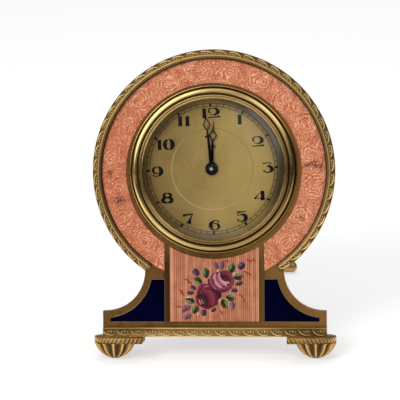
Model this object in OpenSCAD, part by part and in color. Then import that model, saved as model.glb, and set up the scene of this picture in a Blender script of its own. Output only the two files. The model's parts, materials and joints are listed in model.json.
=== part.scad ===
// Small desk clock: gilt front plate with enamel cells, bun feet, a spring movement and a strut back.
// Everything is drawn lying on its back, x right, y up the face, z out of the dial, then stood up.

/* [Stance] */
// Lean of the clock back from upright, degrees
lean = 17.5; // [12:0.5:22]
// How far the strut opens from flat against the back, degrees
strut_open = 39; // [34:0.5:42]

/* [Head] */
// Radius of the round head over its rim
head_r = 35.5; // [35:0.1:38]
// Height of the head's centre above the soles, along the face
head_y = 55; // [54:0.1:58]
// Thickness of the front plate
plate_t = 3; // [2.6:0.1:4]
// Width of the carved band of the rim
rim_band_w = 1.5; // [1:0.1:2]
// Width of the plain band inside the rim's bead
rim_plain_w = 1.1; // [0.6:0.1:1.6]
// Height of the carved band over the plate
rim_h = 1.7; // [1.2:0.1:2.4]
// Depth of the rim's skirt over the edge of the plate
rim_skirt = 1.4; // [0.8:0.1:2.4]

/* [Base] */
// Half of the width of the base
base_half_w = 32.8; // [31:0.1:34]
// Height of the underside of the base above the soles
base_y = 6.8; // [6:0.1:8]
// Height of the base's square shoulder above the soles
shoulder_y = 14; // [13:0.1:16]
// Radius of the hollow side above the shoulder
hollow_r = 12; // [11:0.1:12.5]
// Height of the base moulding
moulding_h = 2.4; // [1.8:0.1:3]
// How far the base moulding stands in front of the plate
moulding_out = 1.3; // [0.8:0.1:2]
// Depth of the plinth behind the face of the plate
plinth_d = 7.8; // [6:0.1:9]

/* [Enamel] */
// Depth of the cells that hold the enamel
cell_d = 0.8; // [0.5:0.05:1.2]
// Gap between an enamel and the wall of its cell
cell_gap = 0.05; // [0.02:0.01:0.1]
// How far the enamel lies under the face of the plate
enamel_low = 0.05; // [0:0.01:0.15]
// Inner radius of the ring enamel
ring_in = 25.7; // [25.2:0.1:27]
// Half of the width of the centre panel
panel_half_w = 13.05; // [11:0.05:14]
// Width of the gilt bar beside the centre panel
mullion_w = 1.6; // [1.2:0.1:2.2]
// Height of the bottom of the panels above the base moulding
panel_low = 1.7; // [1.2:0.1:2.5]
// Width of the gilt border round the side panels
border_w = 2.1; // [1.6:0.1:2.4]

/* [Feet] */
// Distance of each foot's axis in from the end of the base
foot_in = 3.2; // [2:0.1:5]
// Depth of each foot's axis behind the face of the plate
foot_back = 2.6; // [2:0.1:4]
// Radius of the bun where it meets its collar
foot_r = 6; // [5.4:0.1:6.4]
// Height of the collar over the bun
collar_h = 2.2; // [1.6:0.1:3]
// How far the collar stands out past the bun
collar_out = 0.1; // [0.05:0.05:0.4]
// Length of the collar's square inner end
collar_tail = 8.4; // [7:0.1:10]
// Radius of the plain pad under the bun
pad_r = 1.3; // [0.8:0.1:2]
// Number of ribs round the bun
foot_ribs = 12; // [8:1:16]
// Depth of the grooves between the ribs
rib_depth = 0.5; // [0.2:0.05:0.8]

/* [Bezel, glass and dial] */
// Rise of the bezel's centre over the head's centre
bezel_up = 0.5; // [0:0.1:0.8]
// Outer radius of the bezel
bezel_r = 24.5; // [24.2:0.1:25]
// Radius of the bezel's opening
bezel_open_r = 21.1; // [20.6:0.1:21.4]
// Height of the bezel over the plate
bezel_h = 2.65; // [2.2:0.05:3.4]
// Radius of the bezel's spigot, which sits in the bore of the plate
spigot_r = 22.5; // [22.2:0.05:22.8]
// Thickness of the glass
glass_t = 0.9; // [0.7:0.05:1.2]
// Height of the dome of the glass
glass_dome = 1.7; // [1:0.1:2.4]
// Radius of the glass
glass_r = 21.75; // [21.6:0.01:21.8]
// Depth of the dial's face behind the plate's face
dial_d = 1; // [0.8:0.1:1.2]
// Thickness of the dial
dial_t = 0.6; // [0.4:0.05:0.7]
// Turn of the dial to the left, degrees
dial_turn = 1.4; // [-3:0.1:3]

/* [Hands] */
// Length of the minute hand from its hole to its tip
minute_len = 18.2; // [16:0.1:18.8]
// Length of the hour hand from its hole to its tip
hour_len = 14.6; // [12:0.1:15.5]
// Thickness of each hand
hand_t = 0.25; // [0.15:0.05:0.35]
// Turn of the minute hand to the left of upright, degrees
minute_turn = 6; // [-180:1:180]
// Turn of the hour hand to the left of upright, degrees
hour_turn = -2.4; // [-180:0.1:180]
// Radius of the collet that holds the minute hand
collet_r = 1.75; // [1.2:0.05:1.8]

/* [Drum] */
// Outer radius of the movement's drum
drum_r = 24; // [23.8:0.1:24.4]
// Wall of the drum
drum_wall = 0.8; // [0.6:0.05:1]
// Depth of the drum behind the plate's face
drum_d = 20.5; // [20:0.1:22]
// Thickness of the back cover
cover_t = 0.9; // [0.7:0.05:1.2]
// Width of the drum's flange
flange_w = 2.6; // [2.2:0.1:3.5]
// Thickness of the drum's flange
flange_t = 1.2; // [0.9:0.1:1.6]

/* [Strut] */
// Height of the hinge axis above the bezel's centre
hinge_up = 19.7; // [19.5:0.1:20.5]
// Depth of the hinge axis behind the back cover
hinge_out = 2.3; // [2.1:0.05:2.8]
// Radius of the hinge pin
pin_r = 0.8; // [0.6:0.05:0.9]
// Radius of the hinge knuckle
knuckle_r = 1.25; // [1.15:0.05:1.3]
// Width of the strut at its hinge
neck_w = 5; // [4:0.1:6]
// Thickness of the strut
strut_t = 1.6; // [1.2:0.1:1.8]
// Inner radius of the ring in the strut, which clears the key
strut_ring_in = 15; // [14.9:0.1:15.4]
// Width of the ring in the strut
strut_ring_w = 2.6; // [2.2:0.1:2.9]
// Length of the foot bar over its round ends
bar_len = 45; // [32:0.5:60]
// Radius of the foot bar
bar_r = 1.75; // [1.4:0.05:2.2]
// Running clearance round the hinge pin
pin_gap = 0.05; // [0.03:0.01:0.08]

/* [Movement] */
// Sideways place of the movement's centre from the bezel's centre
move_x = -0.6; // [-0.7:0.1:0.3]
// Rise of the movement's centre over the bezel's centre
move_y = 0.15; // [-0.2:0.05:0.2]
// Thickness of the main plate
main_t = 1.6; // [1.2:0.1:1.8]
// Thickness of the back plate
back_t = 1.4; // [1.1:0.1:1.6]
// Gap between the two plates
plates_gap = 7; // [6.9:0.1:7.2]
// Room between the dial and the main plate
motion_room = 2.7; // [2.6:0.05:2.8]
// Radius of the train's arbors
arbor_r = 0.35; // [0.3:0.01:0.4]
// Radius of the train's pivots
pivot_r = 0.25; // [0.2:0.01:0.28]
// Running clearance round a pivot
pivot_gap = 0.03; // [0.02:0.005:0.05]
// Radius of the centre arbor
centre_r = 0.5; // [0.45:0.01:0.55]
// Radius of the setting knob
knob_r = 3; // [2.4:0.1:3.3]
// Half of the width of the key's wings
key_half_w = 5; // [4:0.1:5.3]
// Length of the key's pipe behind the back cover
key_pipe = 3.5; // [3.2:0.1:4]
// Outer radius of the balance rim
balance_r = 4.2; // [3.6:0.1:4.3]

/* [Hidden] */

gilt = [0.83, 0.62, 0.27];
steel = [0.62, 0.63, 0.65];
blued = [0.1, 0.1, 0.16];
pink = [0.93, 0.6, 0.45];
cobalt = [0.08, 0.12, 0.42];

fine = 96;
small = 32;
tiny = 0.02;

// Places on the face
block_top = shoulder_y + hollow_r;
side_top = block_top - border_w * 1.3;
hollow_x = base_half_w - 0.5;
foot_x = base_half_w - foot_in;
rim_end = acos((head_y - block_top) / head_r);
plate_r = head_r - rim_band_w * 0.6;
rim_bead_r = 0.3;
bead_x = head_r - rim_band_w - 0.2;
ring_out = bead_x - rim_plain_w;
bezel_y = head_y + bezel_up;
panel_y = base_y + moulding_h + panel_low;
bore_r = spigot_r + 0.05;

// Places behind the face, as heights below it
dial_back = -dial_d - dial_t;
main_front = dial_back - motion_room;
main_back = main_front - main_t;
back_front = main_back - plates_gap;
back_back = back_front - back_t;
cover_back = -drum_d - cover_t;
hinge_z = cover_back - hinge_out;
hinge_y = bezel_y + hinge_up;
bracket_t = 0.8;
bracket_back = cover_back - bracket_t;

// Stance: the strut's length follows from its angle and the floor
sole_drop = foot_back * sin(lean);
hinge_h = hinge_y * cos(lean) + hinge_z * sin(lean) + sole_drop;
strut_tilt = strut_open - lean;
strut_len = (hinge_h - bar_r) / cos(strut_tilt);
bar_reach = hinge_y * sin(lean) - hinge_z * cos(lean) + strut_len * sin(strut_tilt);
collar_y = base_y - collar_h;
bun_h = collar_y;
bun_r = (foot_r * foot_r + bun_h * bun_h) / (2 * bun_h);
front_reach = collar_y * sin(lean) - (foot_r + collar_out - foot_back) * cos(lean);
middle_reach = (bar_reach + bar_r + front_reach) / 2;

// Train: teeth, module of each pair, and where each arbor stands; it grows with the drum
unit = drum_r / 24;
barrel_teeth = 84;
inter_leaves = 12;
inter_teeth = 66;
centre_leaves = 12;
centre_teeth = 64;
third_leaves = 8;
third_teeth = 60;
fourth_leaves = 8;
fourth_teeth = 60;
escape_leaves = 6;
escape_teeth = 15;
cannon_leaves = 12;
minute_teeth = 36;
minute_leaves = 10;
hour_teeth = 40;
barrel_m = 0.18 * unit;
inter_m = 0.16 * unit;
centre_m = 0.15 * unit;
third_m = 0.13 * unit;
fourth_m = 0.12 * unit;
cannon_m = 0.2 * unit;
hour_m = cannon_m * (cannon_leaves + minute_teeth) / (minute_leaves + hour_teeth);
inter_dir = 200;
barrel_dir = 90;
third_dir = -20;
fourth_dir = -75;
escape_dir = -160;
pallet_dir = -170;
minute_dir = 60;
inter_at = polar(inter_m * (inter_teeth + centre_leaves) / 2, inter_dir);
barrel_at = inter_at + polar(barrel_m * (barrel_teeth + inter_leaves) / 2, barrel_dir);
third_at = polar(centre_m * (centre_teeth + third_leaves) / 2, third_dir);
fourth_at = third_at + polar(third_m * (third_teeth + fourth_leaves) / 2, fourth_dir);
escape_at = fourth_at + polar(fourth_m * (fourth_teeth + escape_leaves) / 2, escape_dir);
escape_r = 3 * unit;
pallet_at = escape_at + polar(escape_r / cos(30), pallet_dir);
lever_len = 4.4 * unit;
balance_at = pallet_at + polar(lever_len, pallet_dir);
minute_at = polar(cannon_m * (cannon_leaves + minute_teeth) / 2, minute_dir);
cock_dir = atan2(balance_at[1], balance_at[0]);
cock_reach = 6.9 * unit;
stud_dir = 22;

// Levels of the train, counted back from the main plate; they grow with the gap between the plates
rise = plates_gap / 7;
barrel_wheel_z = main_back - 0.4 * rise;
barrel_back_z = main_back - 4.6 * rise;
inter_wheel_z = main_back - 4.8 * rise;
centre_wheel_z = main_back - 5.8 * rise;
third_wheel_z = main_back - 1.1 * rise;
fourth_wheel_z = main_back - 3.3 * rise;
escape_wheel_z = main_back - 2.3 * rise;
wheel_t = 0.5 * rise;
balance_z = back_back - 1 * rise;
spring_z = back_back - 2.2 * rise;
cock_z = back_back - 2.9 * rise;
cock_t = rise;

// Hands and their pipes
hour_hand_z = dial_back + dial_t + 0.45;
minute_hand_z = hour_hand_z + hand_t + 0.4;
hour_pipe_r = 1.3;
cannon_pipe_r = 0.9;

// Ratchet and click on the back plate
ratchet_teeth = 30;
ratchet_r = 3.6 * unit;
ratchet_z = back_back - 0.3;
click_dir = 150;
click_at = barrel_at + polar(5.4 * unit, click_dir);

// Places of fixings
flange_r = drum_r + flange_w;
back_r = drum_r - 3.8;
pillar_at = back_r - 1.9;
pillar_dirs = [0, 90, 180, 270];
holding_at = drum_r - 2.05;
holding_dirs = [30, 150, 270];
flange_at = drum_r + flange_w * 0.52;
flange_dirs = [45, 135, 225, 315];
dial_foot_at = drum_r - 9;
dial_foot_dirs = [0, 180];
bracket_w = neck_w + 6;
bracket_screw_x = bracket_w / 2 - 0.8;

// Radii of screws, posts and pins; each hole is wider by the gap it needs
screw_gap = 0.02;
flange_screw_r = 0.5;
plate_screw_r = 0.5;
holding_screw_r = 0.45;
bracket_screw_r = 0.4;
cock_screw_r = 0.48;
click_screw_r = 0.37;
minute_post_r = 0.39;
dial_foot_r = 0.5;
pillar_tenon_r = 0.7;
barrel_pivot_r = 0.6;
barrel_arbor_r = 0.8;

// Seats
seat_gap = 0.05;
glass_seat = bezel_h - 1.25;
barrel_r = barrel_teeth * barrel_m / 2 - barrel_m * 2;
barrel_wall = 0.4;
cap_z = cock_z - cock_t;
cap_r = 0.8;

function polar(r, a) = [r * cos(a), r * sin(a)];

// Turn of a wheel of tb teeth so that it meshes with one of ta teeth turned by a, seen along dir
function meshed(a, ta, tb, dir) = dir + 180 + 180 / tb - (a - dir) * ta / tb;

// Points of one tooth: radial flanks below the pitch circle and a tapered tip above it
function tooth(r, m, half, add, ded, a) = [
    polar(r - ded * m, a - half),
    polar(r, a - half),
    polar(r + add * m, a - half * 0.4),
    polar(r + add * m, a + half * 0.4),
    polar(r, a + half),
    polar(r - ded * m, a + half)
];

// Outline of a wheel, whose teeth are thicker than a pinion's leaves
function wheel_outline(teeth, m, turn) = [
    for (i = [0:teeth - 1])
        each tooth(teeth * m / 2, m, 83 / teeth, 0.95, 1.15, turn + i * 360 / teeth)
];

// Outline of a pinion
function pinion_outline(leaves, m, turn) = [
    for (i = [0:leaves - 1])
        each tooth(leaves * m / 2, m, 64 / leaves, 0.7, 1.2, turn + i * 360 / leaves)
];

// Stands what is drawn lying down on its feet, leaning back, over the middle of its footprint
module stand() {
    translate([0, -middle_reach, sole_drop])
        rotate([90 - lean, 0, 0])
            children();
}

// Places what is drawn about the movement's centre
module in_movement(at = [0, 0]) {
    stand()
        translate([move_x + at[0], bezel_y + move_y + at[1], 0])
            children();
}

// Round bar between two levels
module bar(r, z0, z1, fn = small) {
    translate([0, 0, min(z0, z1)])
        cylinder(h = abs(z1 - z0), r = r, $fn = fn);
}

// Flat piece between two levels
module slab(z0, z1) {
    translate([0, 0, min(z0, z1)])
        linear_extrude(abs(z1 - z0))
            children();
}

// Repeats what is drawn at a radius and a list of directions
module around(r, dirs) {
    for (a = dirs)
        translate(polar(r, a))
            children();
}

// Cheese-head screw pointing up z, with its slot
module screw(head_r, head_t, shank_r, shank_l) {
    difference() {
        union() {
            bar(head_r, -head_t, 0);
            bar(shank_r, -tiny, shank_l);
        }
        translate([-head_r, -head_r * 0.15, -head_t - tiny])
            cube([head_r * 2, head_r * 0.3, head_t * 0.4]);
    }
}

// Outline of the front plate: round head on a base with hollow sides
module plate_outline() {
    translate([0, head_y])
        circle(plate_r, $fn = fine);
    difference() {
        translate([-base_half_w, base_y])
            square([base_half_w * 2, block_top - base_y]);
        for (side = [-1, 1])
            translate([side * hollow_x, block_top])
                circle(hollow_r, $fn = fine);
    }
}

// Outline of the ring enamel, open at the foot between the two gilt bars
module ring_outline(grow = 0) {
    half = panel_half_w + mullion_w - grow;
    difference() {
        translate([0, head_y])
            circle(ring_out + grow, $fn = fine);
        translate([0, head_y])
            circle(ring_in - grow, $fn = fine);
        translate([-half, head_y - ring_out - 2])
            square([half * 2, ring_out + 2]);
    }
}

// Outline of the centre panel, under the bezel
module centre_outline(grow = 0) {
    half = panel_half_w + grow;
    difference() {
        translate([-half, panel_y - grow])
            square([half * 2, head_y - panel_y]);
        translate([0, head_y])
            circle(ring_in - grow, $fn = fine);
    }
}

// Outline of a side panel; side is -1 at the left and 1 at the right
module side_outline(side, grow = 0) {
    inner = panel_half_w + mullion_w - grow;
    outer = base_half_w - border_w + grow;
    difference() {
        translate([side > 0 ? inner : -outer, panel_y - grow])
            square([outer - inner, side_top - panel_y + grow * 2]);
        translate([side * hollow_x, block_top])
            circle(hollow_r + border_w - grow, $fn = fine);
    }
}

module front_plate() {
    color(gilt)
        stand()
            difference() {
                union() {
                    slab(-plate_t, 0)
                        plate_outline();
                    translate([-base_half_w, base_y, -plinth_d])
                        cube([base_half_w * 2, moulding_h, plinth_d - tiny]);
                }
                translate([0, bezel_y, 0])
                    bar(bore_r, -plate_t - 1, 1, fine);
                slab(-cell_d, 1) {
                    ring_outline(cell_gap);
                    centre_outline(cell_gap);
                    side_outline(-1, cell_gap);
                    side_outline(1, cell_gap);
                }
                translate([0, bezel_y, 0])
                    around(flange_at, flange_dirs)
                        bar(flange_screw_r + screw_gap, -plate_t - 1, -plate_t + 1.7);
            }
}

module rim_moulding() {
    band_x = head_r - rim_band_w / 2;
    color(gilt)
        stand()
            translate([0, head_y, 0])
                rotate([0, 0, 90 - (180 - rim_end)])
                    rotate_extrude(angle = 2 * (180 - rim_end), $fn = fine) {
                        translate([ring_out, 0])
                            square([head_r - ring_out, rim_h * 0.4]);
                        translate([plate_r + 0.05, -rim_skirt])
                            square([head_r - plate_r - 0.05, rim_skirt + rim_h * 0.5]);
                        translate([bead_x, rim_h * 0.45])
                            circle(rim_bead_r, $fn = small);
                        intersection() {
                            translate([band_x, rim_h - rim_band_w * 0.6])
                                circle(rim_band_w * 0.6, $fn = small);
                            translate([head_r - rim_band_w, 0])
                                square([rim_band_w, rim_h]);
                        }
                    }
}

module base_moulding() {
    wrap = 0.5;
    half = base_half_w + wrap;
    bead = 0.24;
    color(gilt)
        stand() {
            translate([-half, 0, 0])
                rotate([90, 0, 90])
                    linear_extrude(half * 2) {
                        polygon([
                            [base_y, 0],
                            [base_y, moulding_out * 0.85],
                            [base_y + moulding_h * 0.15, moulding_out],
                            [base_y + moulding_h * 0.7, moulding_out * 0.7],
                            [base_y + moulding_h, moulding_out * 0.35],
                            [base_y + moulding_h, 0]
                        ]);
                        translate([base_y + moulding_h - bead, moulding_out * 0.45])
                            circle(bead, $fn = small);
                    }
            for (side = [-1, 1])
                translate([side > 0 ? base_half_w : -half, base_y, -plinth_d])
                    cube([wrap, moulding_h, plinth_d + tiny]);
        }
}

// Enamel of any outline, standing on the floor of its cell
module enamel() {
    stand()
        slab(-cell_d, -enamel_low)
            children();
}

module ring_enamel() {
    color(pink)
        enamel()
            ring_outline();
}

module centre_enamel() {
    color(pink)
        enamel()
            centre_outline();
}

module left_enamel() {
    color(cobalt)
        enamel()
            side_outline(-1);
}

module right_enamel() {
    color(cobalt)
        enamel()
            side_outline(1);
}

// Radius of the bun at a height over its pole: a sphere that is foot_r wide at the collar
function bun_at(y) = sqrt(max(0, bun_r * bun_r - pow(bun_r - y, 2)));

// One point of the bun, raised to the floor where the leaning bun would go through it
function bun_point(side, y, a) =
    let (
        edge = max(pad_r, bun_at(y)),
        r = edge - rib_depth * (edge / foot_r) * (1 - abs(cos(a * foot_ribs / 2))),
        back = -r * cos(a)
    )
    [side * foot_x + r * sin(a), max(y, back * tan(lean)), -foot_back - back];

// Ribbed bun, lofted from rings of points between its pad and the collar
module bun(side) {
    steps = foot_ribs * 8;
    pad_y = bun_r - sqrt(bun_r * bun_r - pad_r * pad_r);
    levels = [0, for (i = [1:9]) pad_y + (bun_h - pad_y) * pow(i / 9, 1.3), bun_h + 0.1];
    rings = len(levels);
    points = [
        for (y = levels)
            for (i = [0:steps - 1])
                bun_point(side, min(y, bun_h) , i * 360 / steps) + [0, max(0, y - bun_h), 0]
    ];
    ends = [[side * foot_x, 0, -foot_back], [side * foot_x, bun_h + 0.1, -foot_back]];
    skin = [
        for (j = [0:rings - 2])
            for (i = [0:steps - 1])
                let (
                    a = j * steps + i,
                    b = j * steps + (i + 1) % steps
                )
                each [[a, b + steps, b], [a, a + steps, b + steps]]
    ];
    caps = [
        for (i = [0:steps - 1])
            let (
                next = (i + 1) % steps,
                top = (rings - 1) * steps
            )
            each [[rings * steps, i, next], [rings * steps + 1, top + next, top + i]]
    ];
    polyhedron(concat(points, ends), concat(skin, caps), convexity = 4);
}

// Foot: ribbed bun under a collar with a square inner end; side is -1 at the left
module foot(side) {
    reach = foot_r + collar_out;
    color(gilt)
        stand() {
            bun(side);
            translate([side * foot_x, collar_y, -foot_back])
                rotate([-90, 0, 0])
                    cylinder(h = collar_h, r = reach, $fn = fine);
            translate([side > 0 ? foot_x - collar_tail : -foot_x, collar_y, -foot_back - reach])
                cube([collar_tail, collar_h, reach * 2]);
        }
}

module foot_left() {
    foot(-1);
}

module foot_right() {
    foot(1);
}

// Points along an arc, from one angle to another in equal steps
function arc(at, r, a0, a1, steps) = [for (i = [0:steps]) at + polar(r, a0 + (a1 - a0) * i / steps)];

module bezel() {
    bead = 0.42;
    roll = 0.75;
    roll_x = bezel_r - 1.55;
    lip_z = glass_seat + 0.3;
    color(gilt)
        stand()
            translate([0, bezel_y, 0])
                rotate_extrude($fn = fine)
                    polygon(concat(
                        [
                            [bezel_open_r, glass_seat],
                            [bezel_open_r, lip_z],
                            [roll_x - 0.87, lip_z + 0.8]
                        ],
                        arc([roll_x, bezel_h - roll], roll, 195, -35, 12),
                        [[roll_x + roll, bead * 1.7]],
                        arc([bezel_r - bead, bead * 1.7], bead, 165, -20, 8),
                        [
                            [bezel_r, bead],
                            [bezel_r, 0],
                            [spigot_r, 0],
                            [spigot_r, -dial_d],
                            [glass_r + seat_gap, -dial_d],
                            [glass_r + seat_gap, glass_seat]
                        ]
                    ));
}

// Radius of a dome that rises by rise over a given half width
function dome_radius(half, rise) = (half * half + rise * rise) / (2 * rise);

module glass() {
    flat = bezel_open_r - 0.2;
    dome = dome_radius(flat, glass_dome);
    color([0.85, 0.92, 0.95, 0.3])
        stand()
            translate([0, bezel_y, 0])
                rotate_extrude($fn = fine)
                    difference() {
                        union() {
                            translate([0, glass_seat - glass_t])
                                square([glass_r, glass_t]);
                            intersection() {
                                translate([0, glass_seat + glass_dome - dome])
                                    circle(dome, $fn = 256);
                                translate([0, glass_seat - tiny])
                                    square([flat, glass_dome + 1]);
                            }
                        }
                        intersection() {
                            translate([0, glass_seat - glass_t + glass_dome - dome])
                                circle(dome, $fn = 256);
                            translate([-1, glass_seat - glass_t - 1])
                                square([flat + 1, glass_dome + 2]);
                        }
                    }
}

module glass_ring() {
    top = glass_seat - glass_t;
    color(gilt)
        stand()
            translate([0, bezel_y, 0])
                difference() {
                    bar(glass_r, top - 0.7, top, fine);
                    bar(bezel_open_r + 0.1, top - 1, top + 1, fine);
                }
}

module dial() {
    color([0.9, 0.82, 0.66])
        stand()
            difference() {
                union() {
                    translate([0, bezel_y, 0])
                        bar(spigot_r - 0.2, dial_back, -dial_d, fine);
                    translate([move_x, bezel_y + move_y, 0])
                        rotate([0, 0, dial_turn])
                            around(dial_foot_at, dial_foot_dirs)
                                bar(dial_foot_r, main_front - main_t * 0.75, -dial_d - 0.1);
                }
                translate([move_x, bezel_y + move_y, 0])
                    bar(1.5, dial_back - 1, 0);
            }
}

// Outline of a hand: tapered shaft, crossbar and pierced diamond; lengths are shares of the whole
module hand_outline(length, hole, boss, bar_at, low, wide, high, half) {
    difference() {
        union() {
            circle(boss, $fn = small);
            polygon([[-0.52, 0], [0.52, 0], [0.24, low], [-0.24, low]]);
            translate([-0.7, bar_at - 0.2])
                square([1.4, 0.4]);
            for (side = [-1, 1])
                translate([side * 0.7, bar_at])
                    circle(0.24, $fn = small);
            polygon([[0, low - 0.2], [half, wide], [0, high], [-half, wide]]);
            polygon([[-0.22, high - 0.4], [0.22, high - 0.4], [0.14, high + 0.6], [0, length], [-0.14, high + 0.6]]);
        }
        polygon([
            [0, low + 0.5],
            [half - 0.34, wide],
            [0, high - 0.6],
            [0.34 - half, wide]
        ]);
        circle(hole, $fn = small);
    }
}

module hour_hand() {
    color(blued)
        in_movement()
            rotate([0, 0, hour_turn])
                slab(hour_hand_z, hour_hand_z + hand_t)
                    hand_outline(
                        hour_len, hour_pipe_r, 1.9, hour_len * 0.45, hour_len * 0.534,
                        hour_len * 0.67, hour_len * 0.79, 1.2
                    );
}

module minute_hand() {
    color(blued)
        in_movement()
            rotate([0, 0, minute_turn])
                slab(minute_hand_z, minute_hand_z + hand_t)
                    hand_outline(
                        minute_len, cannon_pipe_r, 1.5, minute_len * 0.522, minute_len * 0.6,
                        minute_len * 0.712, minute_len * 0.835, 1.12
                    );
}

module hand_collet() {
    low = minute_hand_z + hand_t;
    color(blued)
        in_movement()
            difference() {
                translate([0, 0, low - collet_r * 0.35])
                    intersection() {
                        sphere(collet_r, $fn = small);
                        bar(collet_r, collet_r * 0.35, collet_r * 0.9);
                    }
                bar(centre_r + pivot_gap, low - 1, low + 3);
            }
}

module drum() {
    inner = drum_r - drum_wall;
    ledge_back = main_back - 1.2;
    color(gilt)
        stand()
            translate([0, bezel_y, 0])
                difference() {
                    rotate_extrude($fn = fine)
                        polygon([
                            [inner, -plate_t],
                            [flange_r, -plate_t],
                            [flange_r, -plate_t - flange_t],
                            [drum_r, -plate_t - flange_t],
                            [drum_r, -drum_d],
                            [inner, -drum_d],
                            [inner, ledge_back],
                            [drum_r - 3, ledge_back],
                            [drum_r - 3, main_back],
                            [inner, main_back]
                        ]);
                    around(flange_at, flange_dirs)
                        bar(flange_screw_r + screw_gap, -plate_t - flange_t - 1, 1);
                    around(holding_at, holding_dirs)
                        bar(holding_screw_r + screw_gap, ledge_back - 1, main_back + 1);
                }
}

module drum_screws() {
    color(steel)
        stand()
            translate([0, bezel_y, -plate_t - flange_t])
                around(flange_at, flange_dirs)
                    screw(flange_screw_r * 1.7, 0.7, flange_screw_r, flange_t + 1.6);
}

module back_cover() {
    inner = drum_r - drum_wall - seat_gap;
    color(gilt)
        stand()
            difference() {
                translate([0, bezel_y, 0]) {
                    bar(drum_r, cover_back, -drum_d, fine);
                    difference() {
                        bar(inner, -drum_d - tiny, -drum_d + 2, fine);
                        bar(inner - 0.6, -drum_d - 1, -drum_d + 3, fine);
                    }
                }
                translate([move_x, bezel_y + move_y, 0]) {
                    bar(1, cover_back - 1, -drum_d + 3);
                    translate(barrel_at)
                        bar(1.4, cover_back - 1, -drum_d + 3);
                }
                translate([0, hinge_y, 0])
                    for (side = [-1, 1])
                        translate([side * bracket_screw_x, 0, 0])
                            bar(bracket_screw_r + screw_gap, cover_back - 1, -drum_d + 3);
            }
}

module strut_bracket() {
    lug_in = neck_w / 2 + 0.1;
    lug_w = 1.2;
    plate_h = 4.6;
    color(gilt)
        stand()
            translate([0, hinge_y, 0])
                difference() {
                    union() {
                        translate([-bracket_w / 2, -plate_h / 2, bracket_back])
                            cube([bracket_w, plate_h, bracket_t]);
                        for (side = [-1, 1])
                            translate([side > 0 ? lug_in : -lug_in - lug_w, 0, 0]) {
                                translate([0, 0, hinge_z])
                                    rotate([0, 90, 0])
                                        cylinder(h = lug_w, r = knuckle_r, $fn = small);
                                translate([0, -knuckle_r, hinge_z])
                                    cube([lug_w, knuckle_r * 2, bracket_back - hinge_z + tiny]);
                            }
                    }
                    translate([-bracket_w, 0, hinge_z])
                        rotate([0, 90, 0])
                            cylinder(h = bracket_w * 2, r = pin_r, $fn = small);
                    for (side = [-1, 1])
                        translate([side * bracket_screw_x, 0, 0])
                            bar(bracket_screw_r + screw_gap, bracket_back - 1, cover_back + 1);
                }
}

module bracket_screws() {
    color(steel)
        stand()
            for (side = [-1, 1])
                translate([side * bracket_screw_x, hinge_y, bracket_back])
                    screw(bracket_screw_r * 1.75, 0.5, bracket_screw_r, bracket_t + cover_t);
}

module strut_pin() {
    half = neck_w / 2 + 1.7;
    color(steel)
        stand()
            translate([-half, hinge_y, hinge_z])
                rotate([0, 90, 0])
                    cylinder(h = half * 2, r = pin_r, $fn = small);
}

// Draws the strut's pieces flat against the back, hung from the hinge and then opened
module on_strut() {
    stand()
        translate([0, hinge_y, hinge_z])
            rotate([strut_open, 0, 0])
                children();
}

module strut_arm() {
    ring_y = -hinge_up;
    ring_out_r = strut_ring_in + strut_ring_w;
    swing_gap = hinge_out - bracket_t;
    heel = (swing_gap - 0.02 - strut_t / 2 * cos(strut_open)) / sin(strut_open);
    foot_w = 5.4;
    color(gilt)
        on_strut()
            difference() {
                union() {
                    rotate([0, 90, 0])
                        translate([0, 0, -neck_w / 2])
                            cylinder(h = neck_w, r = knuckle_r, $fn = small);
                    slab(-strut_t / 2, strut_t / 2)
                        difference() {
                            union() {
                                translate([-neck_w / 2, ring_y + strut_ring_in + 0.4])
                                    square([neck_w, heel - ring_y - strut_ring_in - 0.4]);
                                translate([0, ring_y])
                                    circle(ring_out_r, $fn = fine);
                                polygon([
                                    [-neck_w, ring_y - strut_ring_in - 0.6],
                                    [neck_w, ring_y - strut_ring_in - 0.6],
                                    [foot_w / 2, -strut_len],
                                    [-foot_w / 2, -strut_len]
                                ]);
                            }
                            translate([0, ring_y])
                                circle(strut_ring_in, $fn = fine);
                        }
                }
                rotate([0, 90, 0])
                    translate([0, 0, -neck_w])
                        cylinder(h = neck_w * 2, r = pin_r + pin_gap, $fn = small);
                translate([0, -strut_len, 0])
                    rotate([0, 90, 0])
                        translate([0, 0, -neck_w])
                            cylinder(h = neck_w * 2, r = bar_r, $fn = small);
            }
}

module strut_foot_bar() {
    straight = bar_len - bar_r * 2;
    color(gilt)
        on_strut()
            translate([0, -strut_len, 0])
                rotate([0, 90, 0]) {
                    translate([0, 0, -straight / 2])
                        cylinder(h = straight, r = bar_r, $fn = fine);
                    for (side = [-1, 1])
                        translate([0, 0, side * straight / 2])
                            sphere(bar_r, $fn = fine);
                }
}

module winding_key() {
    lobe = key_half_w / 2;
    wing_z = cover_back - key_pipe - lobe;
    pipe_back = wing_z + lobe * 1.1;
    color(gilt)
        in_movement(barrel_at)
            difference() {
                union() {
                    bar(1.3, wing_z + lobe * 0.48, cover_back - 0.4);
                    translate([0, 0.6, wing_z])
                        rotate([90, 0, 0])
                            linear_extrude(1.2)
                                difference() {
                                    union() {
                                        for (side = [-1, 1])
                                            translate([side * lobe, 0])
                                                circle(lobe, $fn = small);
                                        translate([-lobe / 2, -lobe * 0.45])
                                            square([lobe, lobe * 0.9]);
                                    }
                                    for (side = [-1, 1])
                                        translate([side * lobe * 1.05, 0])
                                            circle(lobe * 0.4, $fn = small);
                                }
                }
                bar(barrel_arbor_r + screw_gap, pipe_back + 0.4, cover_back + 1);
            }
}

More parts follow.
